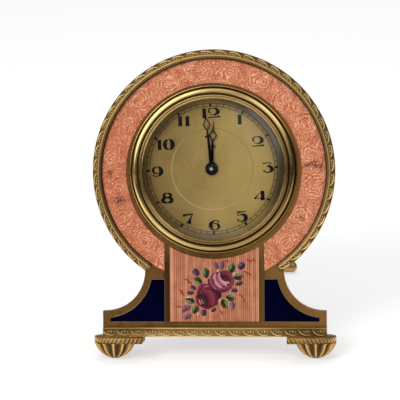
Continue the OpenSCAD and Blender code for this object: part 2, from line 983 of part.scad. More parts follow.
module setting_knob() {
    knob_back = cover_back - 5;
    color(gilt)
        in_movement()
            difference() {
                union() {
                    bar(knob_r, knob_back, knob_back + 2.2, fine);
                    bar(1.4, knob_back + 2, cover_back - 0.3);
                }
                for (i = [0:23])
                    rotate([0, 0, i * 15])
                        translate([knob_r + 0.1, 0, 0])
                            bar(0.25, knob_back - 1, knob_back + 3, 16);
                bar(centre_r + pivot_gap, knob_back + 1, cover_back + 1);
            }
}

// Round hole of each train pivot through one of the plates
module pivot_holes(z0, z1) {
    for (at = [inter_at, third_at, fourth_at, escape_at, pallet_at, balance_at])
        translate(at)
            bar(pivot_r + pivot_gap, z0, z1);
    translate(barrel_at)
        bar(barrel_pivot_r + pivot_gap, z0, z1);
    bar(centre_r + pivot_gap, z0, z1);
}

module main_plate() {
    color(gilt)
        stand()
            difference() {
                translate([0, bezel_y, 0])
                    bar(drum_r - drum_wall - 0.3, main_back, main_front, fine);
                translate([move_x, bezel_y + move_y, 0]) {
                    pivot_holes(main_back - 1, main_front + 1);
                    translate(minute_at)
                        bar(minute_post_r, main_back - 1, main_front + 1);
                    rotate([0, 0, dial_turn])
                        around(dial_foot_at, dial_foot_dirs)
                            bar(dial_foot_r + screw_gap, main_back - 1, main_front + 1);
                }
                translate([0, bezel_y, 0]) {
                    around(pillar_at, pillar_dirs)
                        bar(pillar_tenon_r, main_back - 1, main_front + 1);
                    around(holding_at, holding_dirs)
                        bar(holding_screw_r + screw_gap, main_back - 1, main_front + 1);
                }
            }
}

module back_plate() {
    color(gilt)
        stand()
            difference() {
                translate([0, bezel_y, 0])
                    bar(back_r, back_back, back_front, fine);
                translate([move_x, bezel_y + move_y, 0]) {
                    pivot_holes(back_back - 1, back_front + 1);
                    translate(polar(norm(balance_at) + cock_reach, cock_dir))
                        bar(cock_screw_r + screw_gap, back_back - 1, back_front + 1);
                    translate(click_at)
                        bar(click_screw_r * 0.8, back_back - 1, back_front + 1);
                    translate(balance_at)
                        bar(arbor_r + 0.15, back_back - 1, back_front + 1);
                }
                translate([0, bezel_y, 0])
                    around(pillar_at, pillar_dirs)
                        bar(plate_screw_r + screw_gap, back_back - 1, back_front + 1);
            }
}

module pillars() {
    color(gilt)
        stand()
            translate([0, bezel_y, 0])
                around(pillar_at, pillar_dirs)
                    difference() {
                        union() {
                            bar(1.2, back_front, main_back);
                            bar(pillar_tenon_r, main_back - tiny, main_front);
                        }
                        bar(plate_screw_r + screw_gap, back_front - 1, back_front + 3.2);
                    }
}

module plate_screws() {
    color(blued)
        stand()
            translate([0, bezel_y, back_back])
                around(pillar_at, pillar_dirs)
                    screw(plate_screw_r * 2.2, 0.7, plate_screw_r, back_t + 3);
}

module movement_screws() {
    color(blued)
        stand()
            translate([0, bezel_y, main_front])
                around(holding_at, holding_dirs)
                    rotate([180, 0, 0])
                        screw(holding_screw_r * 1.9, 0.6, holding_screw_r, main_t + 1.1);
}

// Brass wheel with teeth, arms and a hub round a hole
module wheel(teeth, m, turn, z, t, arms, hub, hole) {
    rim = teeth * m / 2 - m * 1.15 - 0.45;
    slab(z - t, z)
        difference() {
            polygon(wheel_outline(teeth, m, turn));
            difference() {
                circle(rim, $fn = small * 2);
                circle(hub, $fn = small);
                for (i = [0:arms - 1])
                    rotate([0, 0, i * 360 / arms])
                        translate([0, -0.22])
                            square([rim + 1, 0.44]);
            }
            circle(hole, $fn = small);
        }
}

// Steel arbor with its two pivots and its pinion
module arbor(leaves, m, turn, z0, z1, body = arbor_r) {
    bar(body, back_front + 0.1, main_back - 0.1);
    bar(pivot_r, back_front - back_t * 0.9, main_back + main_t * 0.9);
    slab(z0, z1)
        polygon(pinion_outline(leaves, m, turn));
}

module barrel() {
    turn = meshed(0, inter_leaves, barrel_teeth, barrel_dir);
    color(gilt)
        in_movement(barrel_at)
            difference() {
                union() {
                    slab(barrel_wheel_z - 1, barrel_wheel_z)
                        polygon(wheel_outline(barrel_teeth, barrel_m, turn));
                    bar(barrel_r, barrel_back_z, barrel_wheel_z - 0.5, fine);
                }
                bar(barrel_r - barrel_wall, barrel_back_z - 1, barrel_wheel_z - 0.5, fine);
                bar(barrel_arbor_r + pivot_gap, barrel_wheel_z - 2, barrel_wheel_z + 1);
            }
}

module barrel_cover() {
    color(gilt)
        in_movement(barrel_at)
            difference() {
                bar(barrel_r - barrel_wall - screw_gap, barrel_back_z, barrel_back_z + 0.5, fine);
                bar(barrel_arbor_r + pivot_gap, barrel_back_z - 1, barrel_back_z + 1);
            }
}

// Points of a flat spiral strip from radius r0 to r1, wound ccw and t thick
function spiral(r0, r1, turns, t, steps, start) =
    let (total = turns * steps)
    concat(
        [for (i = [0:total]) polar(r0 + (r1 - r0) * i / total - t / 2, start + i * 360 / steps)],
        [for (i = [total:-1:0]) polar(r0 + (r1 - r0) * i / total + t / 2, start + i * 360 / steps)]
    );

module mainspring() {
    outer = barrel_r - barrel_wall;
    color(steel)
        in_movement(barrel_at)
            slab(barrel_back_z + 0.7, barrel_wheel_z - 0.7)
                polygon(spiral(2.1, outer - 0.15, 9, 0.22, 24, 0));
}

module barrel_arbor() {
    color(steel)
        in_movement(barrel_at) {
            bar(barrel_pivot_r, back_back - 1.1, main_front - 0.1);
            bar(barrel_arbor_r, barrel_back_z - 0.1, barrel_wheel_z + 0.1);
            bar(1.9, barrel_back_z + 0.6, barrel_wheel_z - 0.6);
            bar(barrel_arbor_r, cover_back - key_pipe * 0.74, ratchet_z);
        }
}

module ratchet_wheel() {
    color(steel)
        in_movement(barrel_at)
            slab(ratchet_z - 0.8, ratchet_z)
                difference() {
                    polygon([
                        for (i = [0:ratchet_teeth - 1])
                            each [
                                polar(ratchet_r, i * 360 / ratchet_teeth),
                                polar(ratchet_r - 0.45, (i + 0.12) * 360 / ratchet_teeth),
                            ]
                    ]);
                    circle(barrel_arbor_r, $fn = small);
                }
}

module click() {
    color(steel)
        in_movement(click_at)
            rotate([0, 0, click_dir]) {
                slab(ratchet_z - 0.8, ratchet_z)
                    difference() {
                        polygon(unit * concat(
                            arc([0, 0], 0.9, 30, -210, 16),
                            [[-1.98, 1.35], [-1.9, 1.75], [-1.3, 1.8]]
                        ));
                        circle(click_screw_r + pivot_gap, $fn = small);
                    }
            }
}

module click_spring() {
    stud_at = unit * [2.9, 3.25];
    color(steel)
        in_movement(click_at)
            rotate([0, 0, click_dir]) {
                slab(ratchet_z - 0.7, ratchet_z - 0.1) {
                    polygon(unit * [[-1.5, 2.2], [-1.4, 2.12], [2.6, 3.15], [2.6, 3.35]]);
                    translate(stud_at)
                        circle(0.5 * unit, $fn = small);
                }
                translate(stud_at)
                    bar(0.35, back_back, ratchet_z - 0.1);
            }
}

module intermediate_wheel() {
    turn = meshed(0, centre_leaves, inter_teeth, inter_dir);
    color(gilt)
        in_movement(inter_at) {
            wheel(inter_teeth, inter_m, turn, inter_wheel_z, wheel_t, 5, 1.1, arbor_r);
            arbor(inter_leaves, barrel_m, 0, barrel_wheel_z - 1.1, barrel_wheel_z + 0.1, arbor_r + 0.05);
        }
}

module centre_wheel() {
    color(gilt)
        in_movement() {
            wheel(centre_teeth, centre_m, 0, centre_wheel_z, wheel_t, 5, 1.2, centre_r);
            bar(centre_r, cover_back - 4, minute_hand_z + hand_t + 0.9);
            bar(centre_r + 0.25, centre_wheel_z - wheel_t - 0.3, main_back - 0.1);
            slab(inter_wheel_z - wheel_t - 0.2, inter_wheel_z + 0.2)
                polygon(pinion_outline(centre_leaves, inter_m, 0));
        }
}

module third_wheel() {
    turn = meshed(0, centre_teeth, third_leaves, third_dir);
    color(gilt)
        in_movement(third_at) {
            wheel(third_teeth, third_m, 0, third_wheel_z, wheel_t, 4, 0.9, arbor_r);
            arbor(third_leaves, centre_m, turn, centre_wheel_z - wheel_t - 0.2, centre_wheel_z + 0.2);
        }
}

module fourth_wheel() {
    turn = meshed(0, third_teeth, fourth_leaves, fourth_dir);
    color(gilt)
        in_movement(fourth_at) {
            wheel(fourth_teeth, fourth_m, 0, fourth_wheel_z, wheel_t, 4, 0.8, 0.3);
            arbor(fourth_leaves, third_m, turn, third_wheel_z - wheel_t - 0.3, third_wheel_z + 0.3, 0.3);
        }
}

module escape_wheel() {
    turn = meshed(0, fourth_teeth, escape_leaves, escape_dir);
    pitch = 360 / escape_teeth;
    color(steel)
        in_movement(escape_at) {
            slab(escape_wheel_z - 0.4, escape_wheel_z)
                difference() {
                    polygon([
                        for (i = [0:escape_teeth - 1])
                            each [
                                polar(escape_r - 0.85, i * pitch - 6),
                                polar(escape_r, i * pitch),
                                polar(escape_r, i * pitch + 2.5),
                                polar(escape_r - 0.85, i * pitch + 4)
                            ]
                    ]);
                    difference() {
                        circle(escape_r - 1.15, $fn = small);
                        circle(0.6, $fn = small);
                        for (i = [0:3])
                            rotate([0, 0, i * 90])
                                translate([0, -0.15])
                                    square([escape_r - 1, 0.3]);
                    }
                }
            arbor(escape_leaves, fourth_m, turn, fourth_wheel_z - wheel_t - 0.3, fourth_wheel_z + 0.3, 0.2);
        }
}

module pallet_fork() {
    // Each pallet stands clear of the escape wheel's tips through the fork's whole swing
    reach = escape_r * tan(30);
    clear = 0.24;
    fork_end = lever_len - 1.3;
    color(steel)
        in_movement(pallet_at)
            rotate([0, 0, pallet_dir]) {
                slab(escape_wheel_z - 0.4, escape_wheel_z)
                    difference() {
                        union() {
                            circle(0.6, $fn = small);
                            for (side = [-1, 1])
                                rotate([0, 0, side * 120]) {
                                    translate([0, side > 0 ? -clear - 0.65 : clear + 0.25])
                                        square([reach + 0.25, 0.4]);
                                    translate([reach - 0.25, side > 0 ? -clear - 0.6 : clear])
                                        square([0.45, 0.6]);
                                }
                            polygon([[0, -0.3], [fork_end - 0.5, -0.18], [fork_end - 0.5, 0.18], [0, 0.3]]);
                            translate([fork_end - 0.7, -0.45])
                                square([0.7, 0.9]);
                        }
                        translate([fork_end - 0.35, -0.16])
                            square([0.5, 0.32]);
                    }
                bar(0.2, back_front + 0.1, main_back - 0.1);
                bar(pivot_r * 0.8, back_front - back_t * 0.9, main_back + main_t * 0.9);
            }
}

module balance_wheel() {
    color(gilt)
        in_movement(balance_at) {
            slab(balance_z - 0.8, balance_z)
                difference() {
                    circle(balance_r, $fn = small * 2);
                    difference() {
                        circle(balance_r - 0.7, $fn = small * 2);
                        translate([-balance_r, -0.4])
                            square([balance_r * 2, 0.8]);
                        circle(0.9, $fn = small);
                    }
                }
            for (i = [0:7])
                rotate([0, 0, i * 45 + 22.5])
                    translate([balance_r - 0.1, 0, balance_z - 0.4])
                        rotate([0, 90, 0])
                            cylinder(h = 0.5, r = 0.25, $fn = 24);
            bar(arbor_r, cock_z + 0.1, main_back - 0.1);
            bar(pivot_r, cock_z - 0.8, main_back + main_t * 0.9);
            bar(1.05, escape_wheel_z + 0.4, escape_wheel_z + 0.8);
            translate(polar(0.85, pallet_dir + 180))
                bar(0.12, escape_wheel_z - 0.5, escape_wheel_z + 0.5, 24);
        }
}

module hairspring() {
    color(blued)
        in_movement(balance_at)
            slab(spring_z - 0.25, spring_z)
                polygon(spiral(0.45, 2.65, 9, 0.07, 24, cock_dir + stud_dir));
}

module balance_cock() {
    foot_at = cock_reach;
    color(gilt)
        in_movement(balance_at)
            rotate([0, 0, cock_dir])
                difference() {
                    union() {
                        slab(cap_z, cock_z) {
                            circle(1.7, $fn = small);
                            polygon([[0, -1.2], [foot_at, -1.4], [foot_at, 1.4], [0, 1.2]]);
                        }
                        translate([foot_at, 0, 0])
                            bar(1.8, back_back, cap_z);
                        bar(cap_r, cap_z - 0.4, cock_z - 0.2);
                        translate(polar(2.92, stud_dir))
                            bar(0.2, cock_z - 0.2, spring_z);
                    }
                    bar(pivot_r + pivot_gap, cock_z - 0.9, cock_z + 1);
                    translate([foot_at, 0, 0])
                        bar(cock_screw_r + screw_gap, cap_z - 1, back_back + 1);
                }
}

module regulator_lever() {
    color(steel)
        in_movement(balance_at)
            rotate([0, 0, cock_dir + 180]) {
                slab(cap_z - 0.3, cap_z)
                    difference() {
                        union() {
                            circle(1.4, $fn = small);
                            polygon([[0, -0.5], [5.4, -0.15], [5.4, 0.15], [0, 0.5]]);
                        }
                        circle(cap_r + seat_gap, $fn = small);
                    }
                for (r = [2.41, 2.65])
                    translate([r, 0, 0])
                        bar(0.06, cap_z - 0.1, spring_z - 0.3, 24);
            }
}

module cannon_pinion() {
    color(steel)
        in_movement()
            difference() {
                union() {
                    slab(main_front + 0.2, main_front + 1.1)
                        polygon(pinion_outline(cannon_leaves, cannon_m, 0));
                    bar(cannon_pipe_r, main_front + 0.2, minute_hand_z + hand_t, small);
                }
                bar(centre_r + pivot_gap, main_front - 1, minute_hand_z + 2);
            }
}

module minute_wheel() {
    turn = meshed(0, cannon_leaves, minute_teeth, minute_dir);
    color(gilt)
        in_movement(minute_at)
            difference() {
                union() {
                    slab(main_front + 0.4, main_front + 0.9)
                        polygon(wheel_outline(minute_teeth, cannon_m, turn));
                    slab(main_front + 0.4, dial_back - 0.3)
                        polygon(pinion_outline(minute_leaves, hour_m, 0));
                }
                bar(minute_post_r + pivot_gap, main_front - 1, dial_back + 1);
            }
}

module hour_wheel() {
    turn = meshed(0, minute_leaves, hour_teeth, minute_dir + 180);
    color(gilt)
        in_movement()
            difference() {
                union() {
                    slab(dial_back - 1, dial_back - 0.4)
                        polygon(wheel_outline(hour_teeth, hour_m, turn));
                    bar(hour_pipe_r, dial_back - 1, hour_hand_z + hand_t);
                }
                bar(cannon_pipe_r + 0.05, dial_back - 2, 1);
            }
}

// Post in the main plate, with a shoulder that carries the minute wheel
module minute_post() {
    color(steel)
        in_movement(minute_at) {
            bar(minute_post_r, main_back, dial_back - 0.1);
            bar(minute_post_r + 0.3, main_front, main_front + 0.35);
        }
}

// Shouldered screw on which the click turns
module click_screw() {
    color(blued)
        in_movement(click_at)
            translate([0, 0, ratchet_z - 0.85]) {
                screw(click_screw_r * 2, 0.5, click_screw_r, back_back - ratchet_z + 0.85);
                bar(click_screw_r * 0.8, 0, back_back - ratchet_z + 0.85 + back_t * 0.8);
            }
}

module cock_screw() {
    color(blued)
        in_movement(polar(norm(balance_at) + cock_reach, cock_dir))
            translate([0, 0, cap_z])
                screw(cock_screw_r * 1.9, 0.6, cock_screw_r, back_back - cap_z + back_t * 0.8);
}

front_plate();
rim_moulding();
base_moulding();
ring_enamel();
centre_enamel();
left_enamel();
right_enamel();
foot_left();
foot_right();
bezel();
glass();
glass_ring();
dial();
hour_hand();
minute_hand();
hand_collet();
drum();
drum_screws();
back_cover();
strut_bracket();
bracket_screws();
strut_pin();
strut_arm();
strut_foot_bar();
winding_key();
setting_knob();
main_plate();
back_plate();
pillars();
plate_screws();
movement_screws();
barrel();
barrel_cover();
mainspring();
barrel_arbor();
ratchet_wheel();
click();
click_spring();
intermediate_wheel();
centre_wheel();
third_wheel();
fourth_wheel();
escape_wheel();
pallet_fork();
balance_wheel();
hairspring();
balance_cock();
regulator_lever();
cannon_pinion();
minute_wheel();
hour_wheel();
minute_post();
click_screw();
cock_screw();
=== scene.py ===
"""Looks of a small gilt and enamel desk clock, built round its packed construction."""

import json
import logging
import math
from dataclasses import dataclass, field
from enum import Enum
from typing import Callable, Iterable, Sequence

import bmesh
import bpy
from bmesh.types import BMesh
from bpy.types import Material, Mesh
from mathutils import Matrix, Vector


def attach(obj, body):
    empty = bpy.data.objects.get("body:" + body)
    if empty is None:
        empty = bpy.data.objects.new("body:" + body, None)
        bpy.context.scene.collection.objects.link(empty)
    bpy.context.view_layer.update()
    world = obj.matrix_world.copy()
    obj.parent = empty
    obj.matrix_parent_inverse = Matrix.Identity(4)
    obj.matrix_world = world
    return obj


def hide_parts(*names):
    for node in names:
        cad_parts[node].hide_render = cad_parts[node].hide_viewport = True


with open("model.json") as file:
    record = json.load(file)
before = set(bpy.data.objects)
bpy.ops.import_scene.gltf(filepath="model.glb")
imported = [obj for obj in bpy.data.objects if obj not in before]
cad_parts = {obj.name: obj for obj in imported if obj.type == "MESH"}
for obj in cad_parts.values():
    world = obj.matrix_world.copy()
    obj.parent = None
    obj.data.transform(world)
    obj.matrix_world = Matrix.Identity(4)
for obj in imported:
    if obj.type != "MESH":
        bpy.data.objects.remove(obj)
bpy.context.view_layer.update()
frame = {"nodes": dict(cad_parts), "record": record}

log = logging.getLogger("clock")

Colour = tuple[float, float, float]
Point = tuple[float, float]
Stroke = Sequence[tuple[float, float, float]]

MM = 0.001
TURN = 2 * math.pi

HEAD_AT: Point = (0.0, 55.0)
BEZEL_AT: Point = (0.0, 55.5)
DIAL_AT: Point = (-0.5, 55.6)
MOVEMENT_AT: Point = (-0.6, 55.65)
DIAL_TURN = 1.4
DIAL_Z = -1.0

# Where the painted shade round the centre panel fades, from and to: at its sides, foot and head
MARGIN_SIDE: Point = (14.4, 15.4)
MARGIN_FOOT: Point = (10.0, 11.4)
MARGIN_HEAD: Point = (27.0, 34.0)

SCREEN_GAMMA = 2.2
STUDIO_LIGHT = 1.15


def polar(radius: float, degrees: float) -> Point:
    """Point at a radius and a direction in degrees."""
    return radius * math.cos(math.radians(degrees)), radius * math.sin(math.radians(degrees))


def arc(centre: Point, radius: float, first: float, last: float, steps: int) -> list[Point]:
    """Points of an arc between two directions in degrees."""
    spots = (polar(radius, first + (last - first) * i / steps) for i in range(steps + 1))
    return [(centre[0] + x, centre[1] + y) for x, y in spots]


def shift(x: float, y: float, z: float) -> Matrix:
    """Matrix of a move."""
    return Matrix.Translation((x, y, z))


def turned(degrees: float, axis: str = "Z") -> Matrix:
    """Matrix of a turn about an axis."""
    return Matrix.Rotation(math.radians(degrees), 4, axis)


def held(value: float) -> float:
    """A number held between 0 and 1."""
    return min(1.0, max(0.0, value))


def shaded(colour: Colour, share: float) -> Colour:
    """A colour times a number."""
    return tuple(c * share for c in colour)


def tone(red: int, green: int, blue: int) -> Colour:
    """Shader colour of a colour seen under the studio's light, given as screen values."""
    return tuple((c / 255) ** SCREEN_GAMMA / STUDIO_LIGHT for c in (red, green, blue))


@dataclass(frozen=True)
class Stance:
    """How the clock's face stands: x right, y up the face and z out of it, in millimetres."""

    lean: float = math.radians(17.5)
    back: float = 35.0369
    drop: float = 0.7818

    @property
    def turn(self) -> float:
        """Turn about the x axis that stands the face up."""
        return math.pi / 2 - self.lean

    @property
    def place(self) -> tuple[float, float, float]:
        """Place of the face's origin in the room, in metres."""
        return 0.0, -self.back * MM, self.drop * MM

    def matrix(self) -> Matrix:
        """Matrix from the face's millimetres to the room's metres."""
        return shift(*self.place) @ Matrix.Rotation(self.turn, 4, "X") @ Matrix.Scale(MM, 4)


STANCE = Stance()


def arithmetic(operation: str) -> Callable[["Signal", "Signal | float"], "Signal"]:
    """Operator of a signal that makes a Math node."""
    return lambda signal, other: signal.maths(operation, other)


class Signal:
    """A shader socket that Python's arithmetic works on."""

    def __init__(self, paint: "Paint", socket: bpy.types.NodeSocket) -> None:
        """Keeps the paint that owns the socket."""
        self.paint = paint
        self.socket = socket

    def maths(self, operation: str, *others: "Signal | float") -> "Signal":
        """Result of a Math node on this signal and others."""
        return self.paint.node("Math", [self, *others], operation=operation)

    __add__ = __radd__ = arithmetic("ADD")
    __sub__ = arithmetic("SUBTRACT")
    __mul__ = __rmul__ = arithmetic("MULTIPLY")
    __truediv__ = arithmetic("DIVIDE")
    __pow__ = arithmetic("POWER")

    def __rsub__(self, other: float) -> "Signal":
        """A number less this signal."""
        return self.paint.node("Math", [other, self], operation="SUBTRACT")

    def abs(self) -> "Signal":
        """Size without its sign."""
        return self.maths("ABSOLUTE")

    def wave(self) -> "Signal":
        """Sine of the signal, moved to run between 0 and 1."""
        return self.maths("SINE") * 0.5 + 0.5

    def clamped(self) -> "Signal":
        """The signal held between 0 and 1."""
        return self.paint.node("Clamp", [self])

    def rise(self, low: float, high: float) -> "Signal":
        """Smooth step from 0 at low to 1 at high."""
        ends = [self, low, high, 0.0, 1.0]
        return self.paint.node("MapRange", ends, interpolation_type="SMOOTHSTEP")


class Paint:
    """One material, or the world, made node by node."""

    def __init__(self, name: str, world: bool = False) -> None:
        """Starts an empty material or an empty world."""
        self.owner = (bpy.data.worlds if world else bpy.data.materials).new(name)
        self.owner.use_nodes = True
        self.tree = self.owner.node_tree
        self.tree.nodes.clear()

    def node(
        self,
        kind: str,
        inputs: Sequence[object] | dict[str | int, object] = (),
        output: int | str = 0,
        **settings: object,
    ) -> Signal:
        """Makes any node.

        Args:
            kind: the node's type, without its prefix.
            inputs: values or signals of its sockets, by order or by name.
            output: the socket that is returned.
            settings: its properties.

        Returns:
            The signal of the chosen output.
        """
        made = self.tree.nodes.new(f"ShaderNode{kind}")
        for name, value in settings.items():
            setattr(made, name, value)
        pairs = inputs.items() if isinstance(inputs, dict) else enumerate(inputs)
        for key, value in pairs:
            if isinstance(value, Signal):
                self.tree.links.new(value.socket, made.inputs[key])
            else:
                made.inputs[key].default_value = value
        return Signal(self, made.outputs[output])

    def face(self) -> Signal:
        """Place on the clock in the face's millimetres."""
        here = self.node("TexCoord", output="Object")
        inputs = [here, STANCE.place, (STANCE.turn, 0.0, 0.0), (MM, MM, MM)]
        return self.node("Mapping", inputs, vector_type="TEXTURE")

    def moved(
        self, here: Signal, place: Sequence[float] = (0, 0, 0), turn: float = 0.0,
        scale: Sequence[float] = (1, 1, 1),
    ) -> Signal:
        """Coordinates centred at a place, turned about z and stretched."""
        centred = self.node("VectorMath", [here, place], operation="SUBTRACT")
        return self.node("Mapping", [centred, (0.0, 0.0, 0.0), (0.0, 0.0, turn), scale])

    def split(self, vector: Signal) -> list[Signal]:
        """The three parts of a vector."""
        source = self.node("SeparateXYZ", [vector]).socket.node
        return [Signal(self, output) for output in source.outputs]

    def joined(self, x: Signal | float, y: Signal | float, z: Signal | float = 0.0) -> Signal:
        """A vector of three parts."""
        return self.node("CombineXYZ", [x, y, z])

    def noise(self, here: Signal, scale: float, detail: float = 3.0, rough: float = 0.55) -> Signal:
        """Soft noise between 0 and 1."""
        inputs = {"Vector": here, "Scale": scale, "Detail": detail, "Roughness": rough}
        return self.node("TexNoise", inputs, "Fac")

    def cells(self, here: Signal, scale: float, jitter: float = 1.0) -> Signal:
        """Distance to the nearest of many scattered points."""
        inputs = {"Vector": here, "Scale": scale, "Randomness": jitter}
        return self.node("TexVoronoi", inputs, "Distance")

    def stored(self, name: str, output: str) -> Signal:
        """What the mesh keeps under a name."""
        return self.node("Attribute", output=output, attribute_name=name)

    def ray(self, kind: str) -> Signal:
        """Whether the light path is of a kind: 1 or 0."""
        return self.node("LightPath", output=f"Is {kind} Ray")

    def mix(self, share: Signal | float, a: Signal | Colour, b: Signal | Colour) -> Signal:
        """Colour between two others."""
        a, b = (c if isinstance(c, Signal) else (*c, 1.0) for c in (a, b))
        return self.node("Mix", {0: share, 6: a, 7: b}, 2, data_type="RGBA")

    def bump(self, height: Signal, depth: float, strength: float = 1.0) -> Signal:
        """Normal of a height given in millimetres of depth."""
        inputs = {"Strength": strength, "Distance": depth * MM, "Height": height}
        return self.node("Bump", inputs)

    def radius(self, here: Signal, centre: Point) -> Signal:
        """Distance on the face from a centre."""
        x, y, _ = self.split(here)
        return ((x - centre[0]) ** 2.0 + (y - centre[1]) ** 2.0) ** 0.5

    def done(self, shader: Signal, output: str = "OutputMaterial") -> bpy.types.ID:
        """Sends a shader to the output and returns the material or world."""
        end = self.tree.nodes.new(f"ShaderNode{output}")
        self.tree.links.new(shader.socket, end.inputs["Surface"])
        return self.owner

    def surface(self, **inputs: Signal | float) -> Material:
        """Ends in a Principled shader whose sockets are named with underscores for spaces."""
        named = {key.replace("_", " "): value for key, value in inputs.items()}
        return self.done(self.node("BsdfPrincipled", named))


class Recipe:
    """A finish that can be made as a material."""

    def make(self, name: str) -> Material:
        """Makes the material.

        Args:
            name: the material's name.

        Returns:
            The material.
        """
        p = Paint(name)
        return self.lay(p, p.face())

    def lay(self, p: Paint, here: Signal) -> Material:
        """Lays the finish on a paint, over the place on the face."""
        raise NotImplementedError


class Grain(Enum):
    """How a metal surface was worked."""

    CAST = "cast"
    TURNED = "turned"
    DRAWN = "drawn"


@dataclass(frozen=True)
class Metal(Recipe):
    """Gilt brass or steel with stains, a worked grain and fine scratches."""

    light: Colour
    dark: Colour
    rough: float = 0.32
    grain: Grain = Grain.CAST
    stain: float = 0.5
    grain_depth: float = 0.012
    carved: bool = False
    hollow: Colour = (0.035, 0.016, 0.004)
    # Strengths of painted shade beside the plate's centre panel and low at the right of the bezel
    dim: float = 0.0
    aged: float = 0.0

    def worked(self, p: Paint, here: Signal) -> Signal:
        """Grain of the surface: rings round the bezel, level lines, or a cast skin."""
        if self.grain is Grain.CAST:
            return p.noise(here, 5.0, 5.0, 0.65)
        x, y, z = p.split(here)
        if self.grain is Grain.DRAWN:
            return p.noise(p.joined(x * 0.5, y * 12.0, z * 12.0), 1.0, 2.0)
        return p.noise(p.joined(p.radius(here, BEZEL_AT) * 9.0, z * 9.0), 1.0, 2.0)

    def worn(self, p: Paint, here: Signal, colour: Signal) -> Signal:
        """The colour with painted shade low at the right of the bezel, and with painted light towards the
        plate's right and painted shade beside the plate's panel.
        """
        if not (self.aged or self.dim):
            return colour
        x, y, _ = p.split(here)
        if self.aged:
            # Painted shade, darker low at the right of the bezel
            low_right = (x - y + BEZEL_AT[1]).rise(0.0, 30.0)
            colour = p.mix(low_right * self.aged, colour, shaded(self.dark, 0.6))
        if self.dim:
            # Painted light towards the right of the plate, and painted shade beside its centre panel
            beside = (1.0 - x.abs().rise(*MARGIN_SIDE)) * y.rise(*MARGIN_FOOT) * (1.0 - y.rise(*MARGIN_HEAD))
            right = x.rise(-10.0, 30.0)
            colour = p.mix(right * 0.75, colour, shaded(self.light, 1.2))
            colour = p.mix(beside * (1.0 - right * 0.7) * self.dim, colour, shaded(self.dark, 0.9))
        return colour

    def lay(self, p: Paint, here: Signal) -> Material:
        """Lays stains, painted light and shade by place, the dark of the carving, which is patina with
        painted shade, and scratches.
        """
        patches = p.noise(here, 0.22, 4.0, 0.6).rise(0.38, 0.66)
        specks = p.noise(here, 2.6, 3.0, 0.7).rise(0.56, 0.74)
        mottle = p.noise(p.moved(here, scale=(0.5, 1.6, 1.0)), 0.9, 3.0, 0.6).rise(0.3, 0.7)
        worked = self.worked(p, here)
        tarnish = (patches * 0.5 + specks * 0.3 + mottle * 0.35) * self.stain
        colour = self.worn(p, here, p.mix(tarnish.clamped(), self.light, self.dark))
        rough = self.rough + patches * 0.12 + worked * 0.1
        # Carved gilt is darker in its hollows and lighter on its raised parts, by the stored relief: patina
        # with painted shade in the hollows, and painted highlights on the tops.
        if self.carved:
            raised = (p.stored("relief", "Fac") + (worked - 0.5) * 0.3).clamped()
            colour = p.mix(raised, self.hollow, colour)
            rough = rough + (1.0 - raised) * 0.25
        scratch = p.noise(p.moved(here, turn=0.6, scale=(0.4, 14.0, 3.0)), 1.0, 1.0).rise(0.66, 0.8)
        return p.surface(
            Base_Color=colour, Metallic=1.0, Roughness=rough.clamped(),
            Normal=p.bump(worked - scratch * 0.35, self.grain_depth),
        )


class Ground(Enum):
    """Engine turning under a translucent enamel."""

    SCROLLS = "scrolls"
    STRIPES = "stripes"
    PLAIN = "plain"


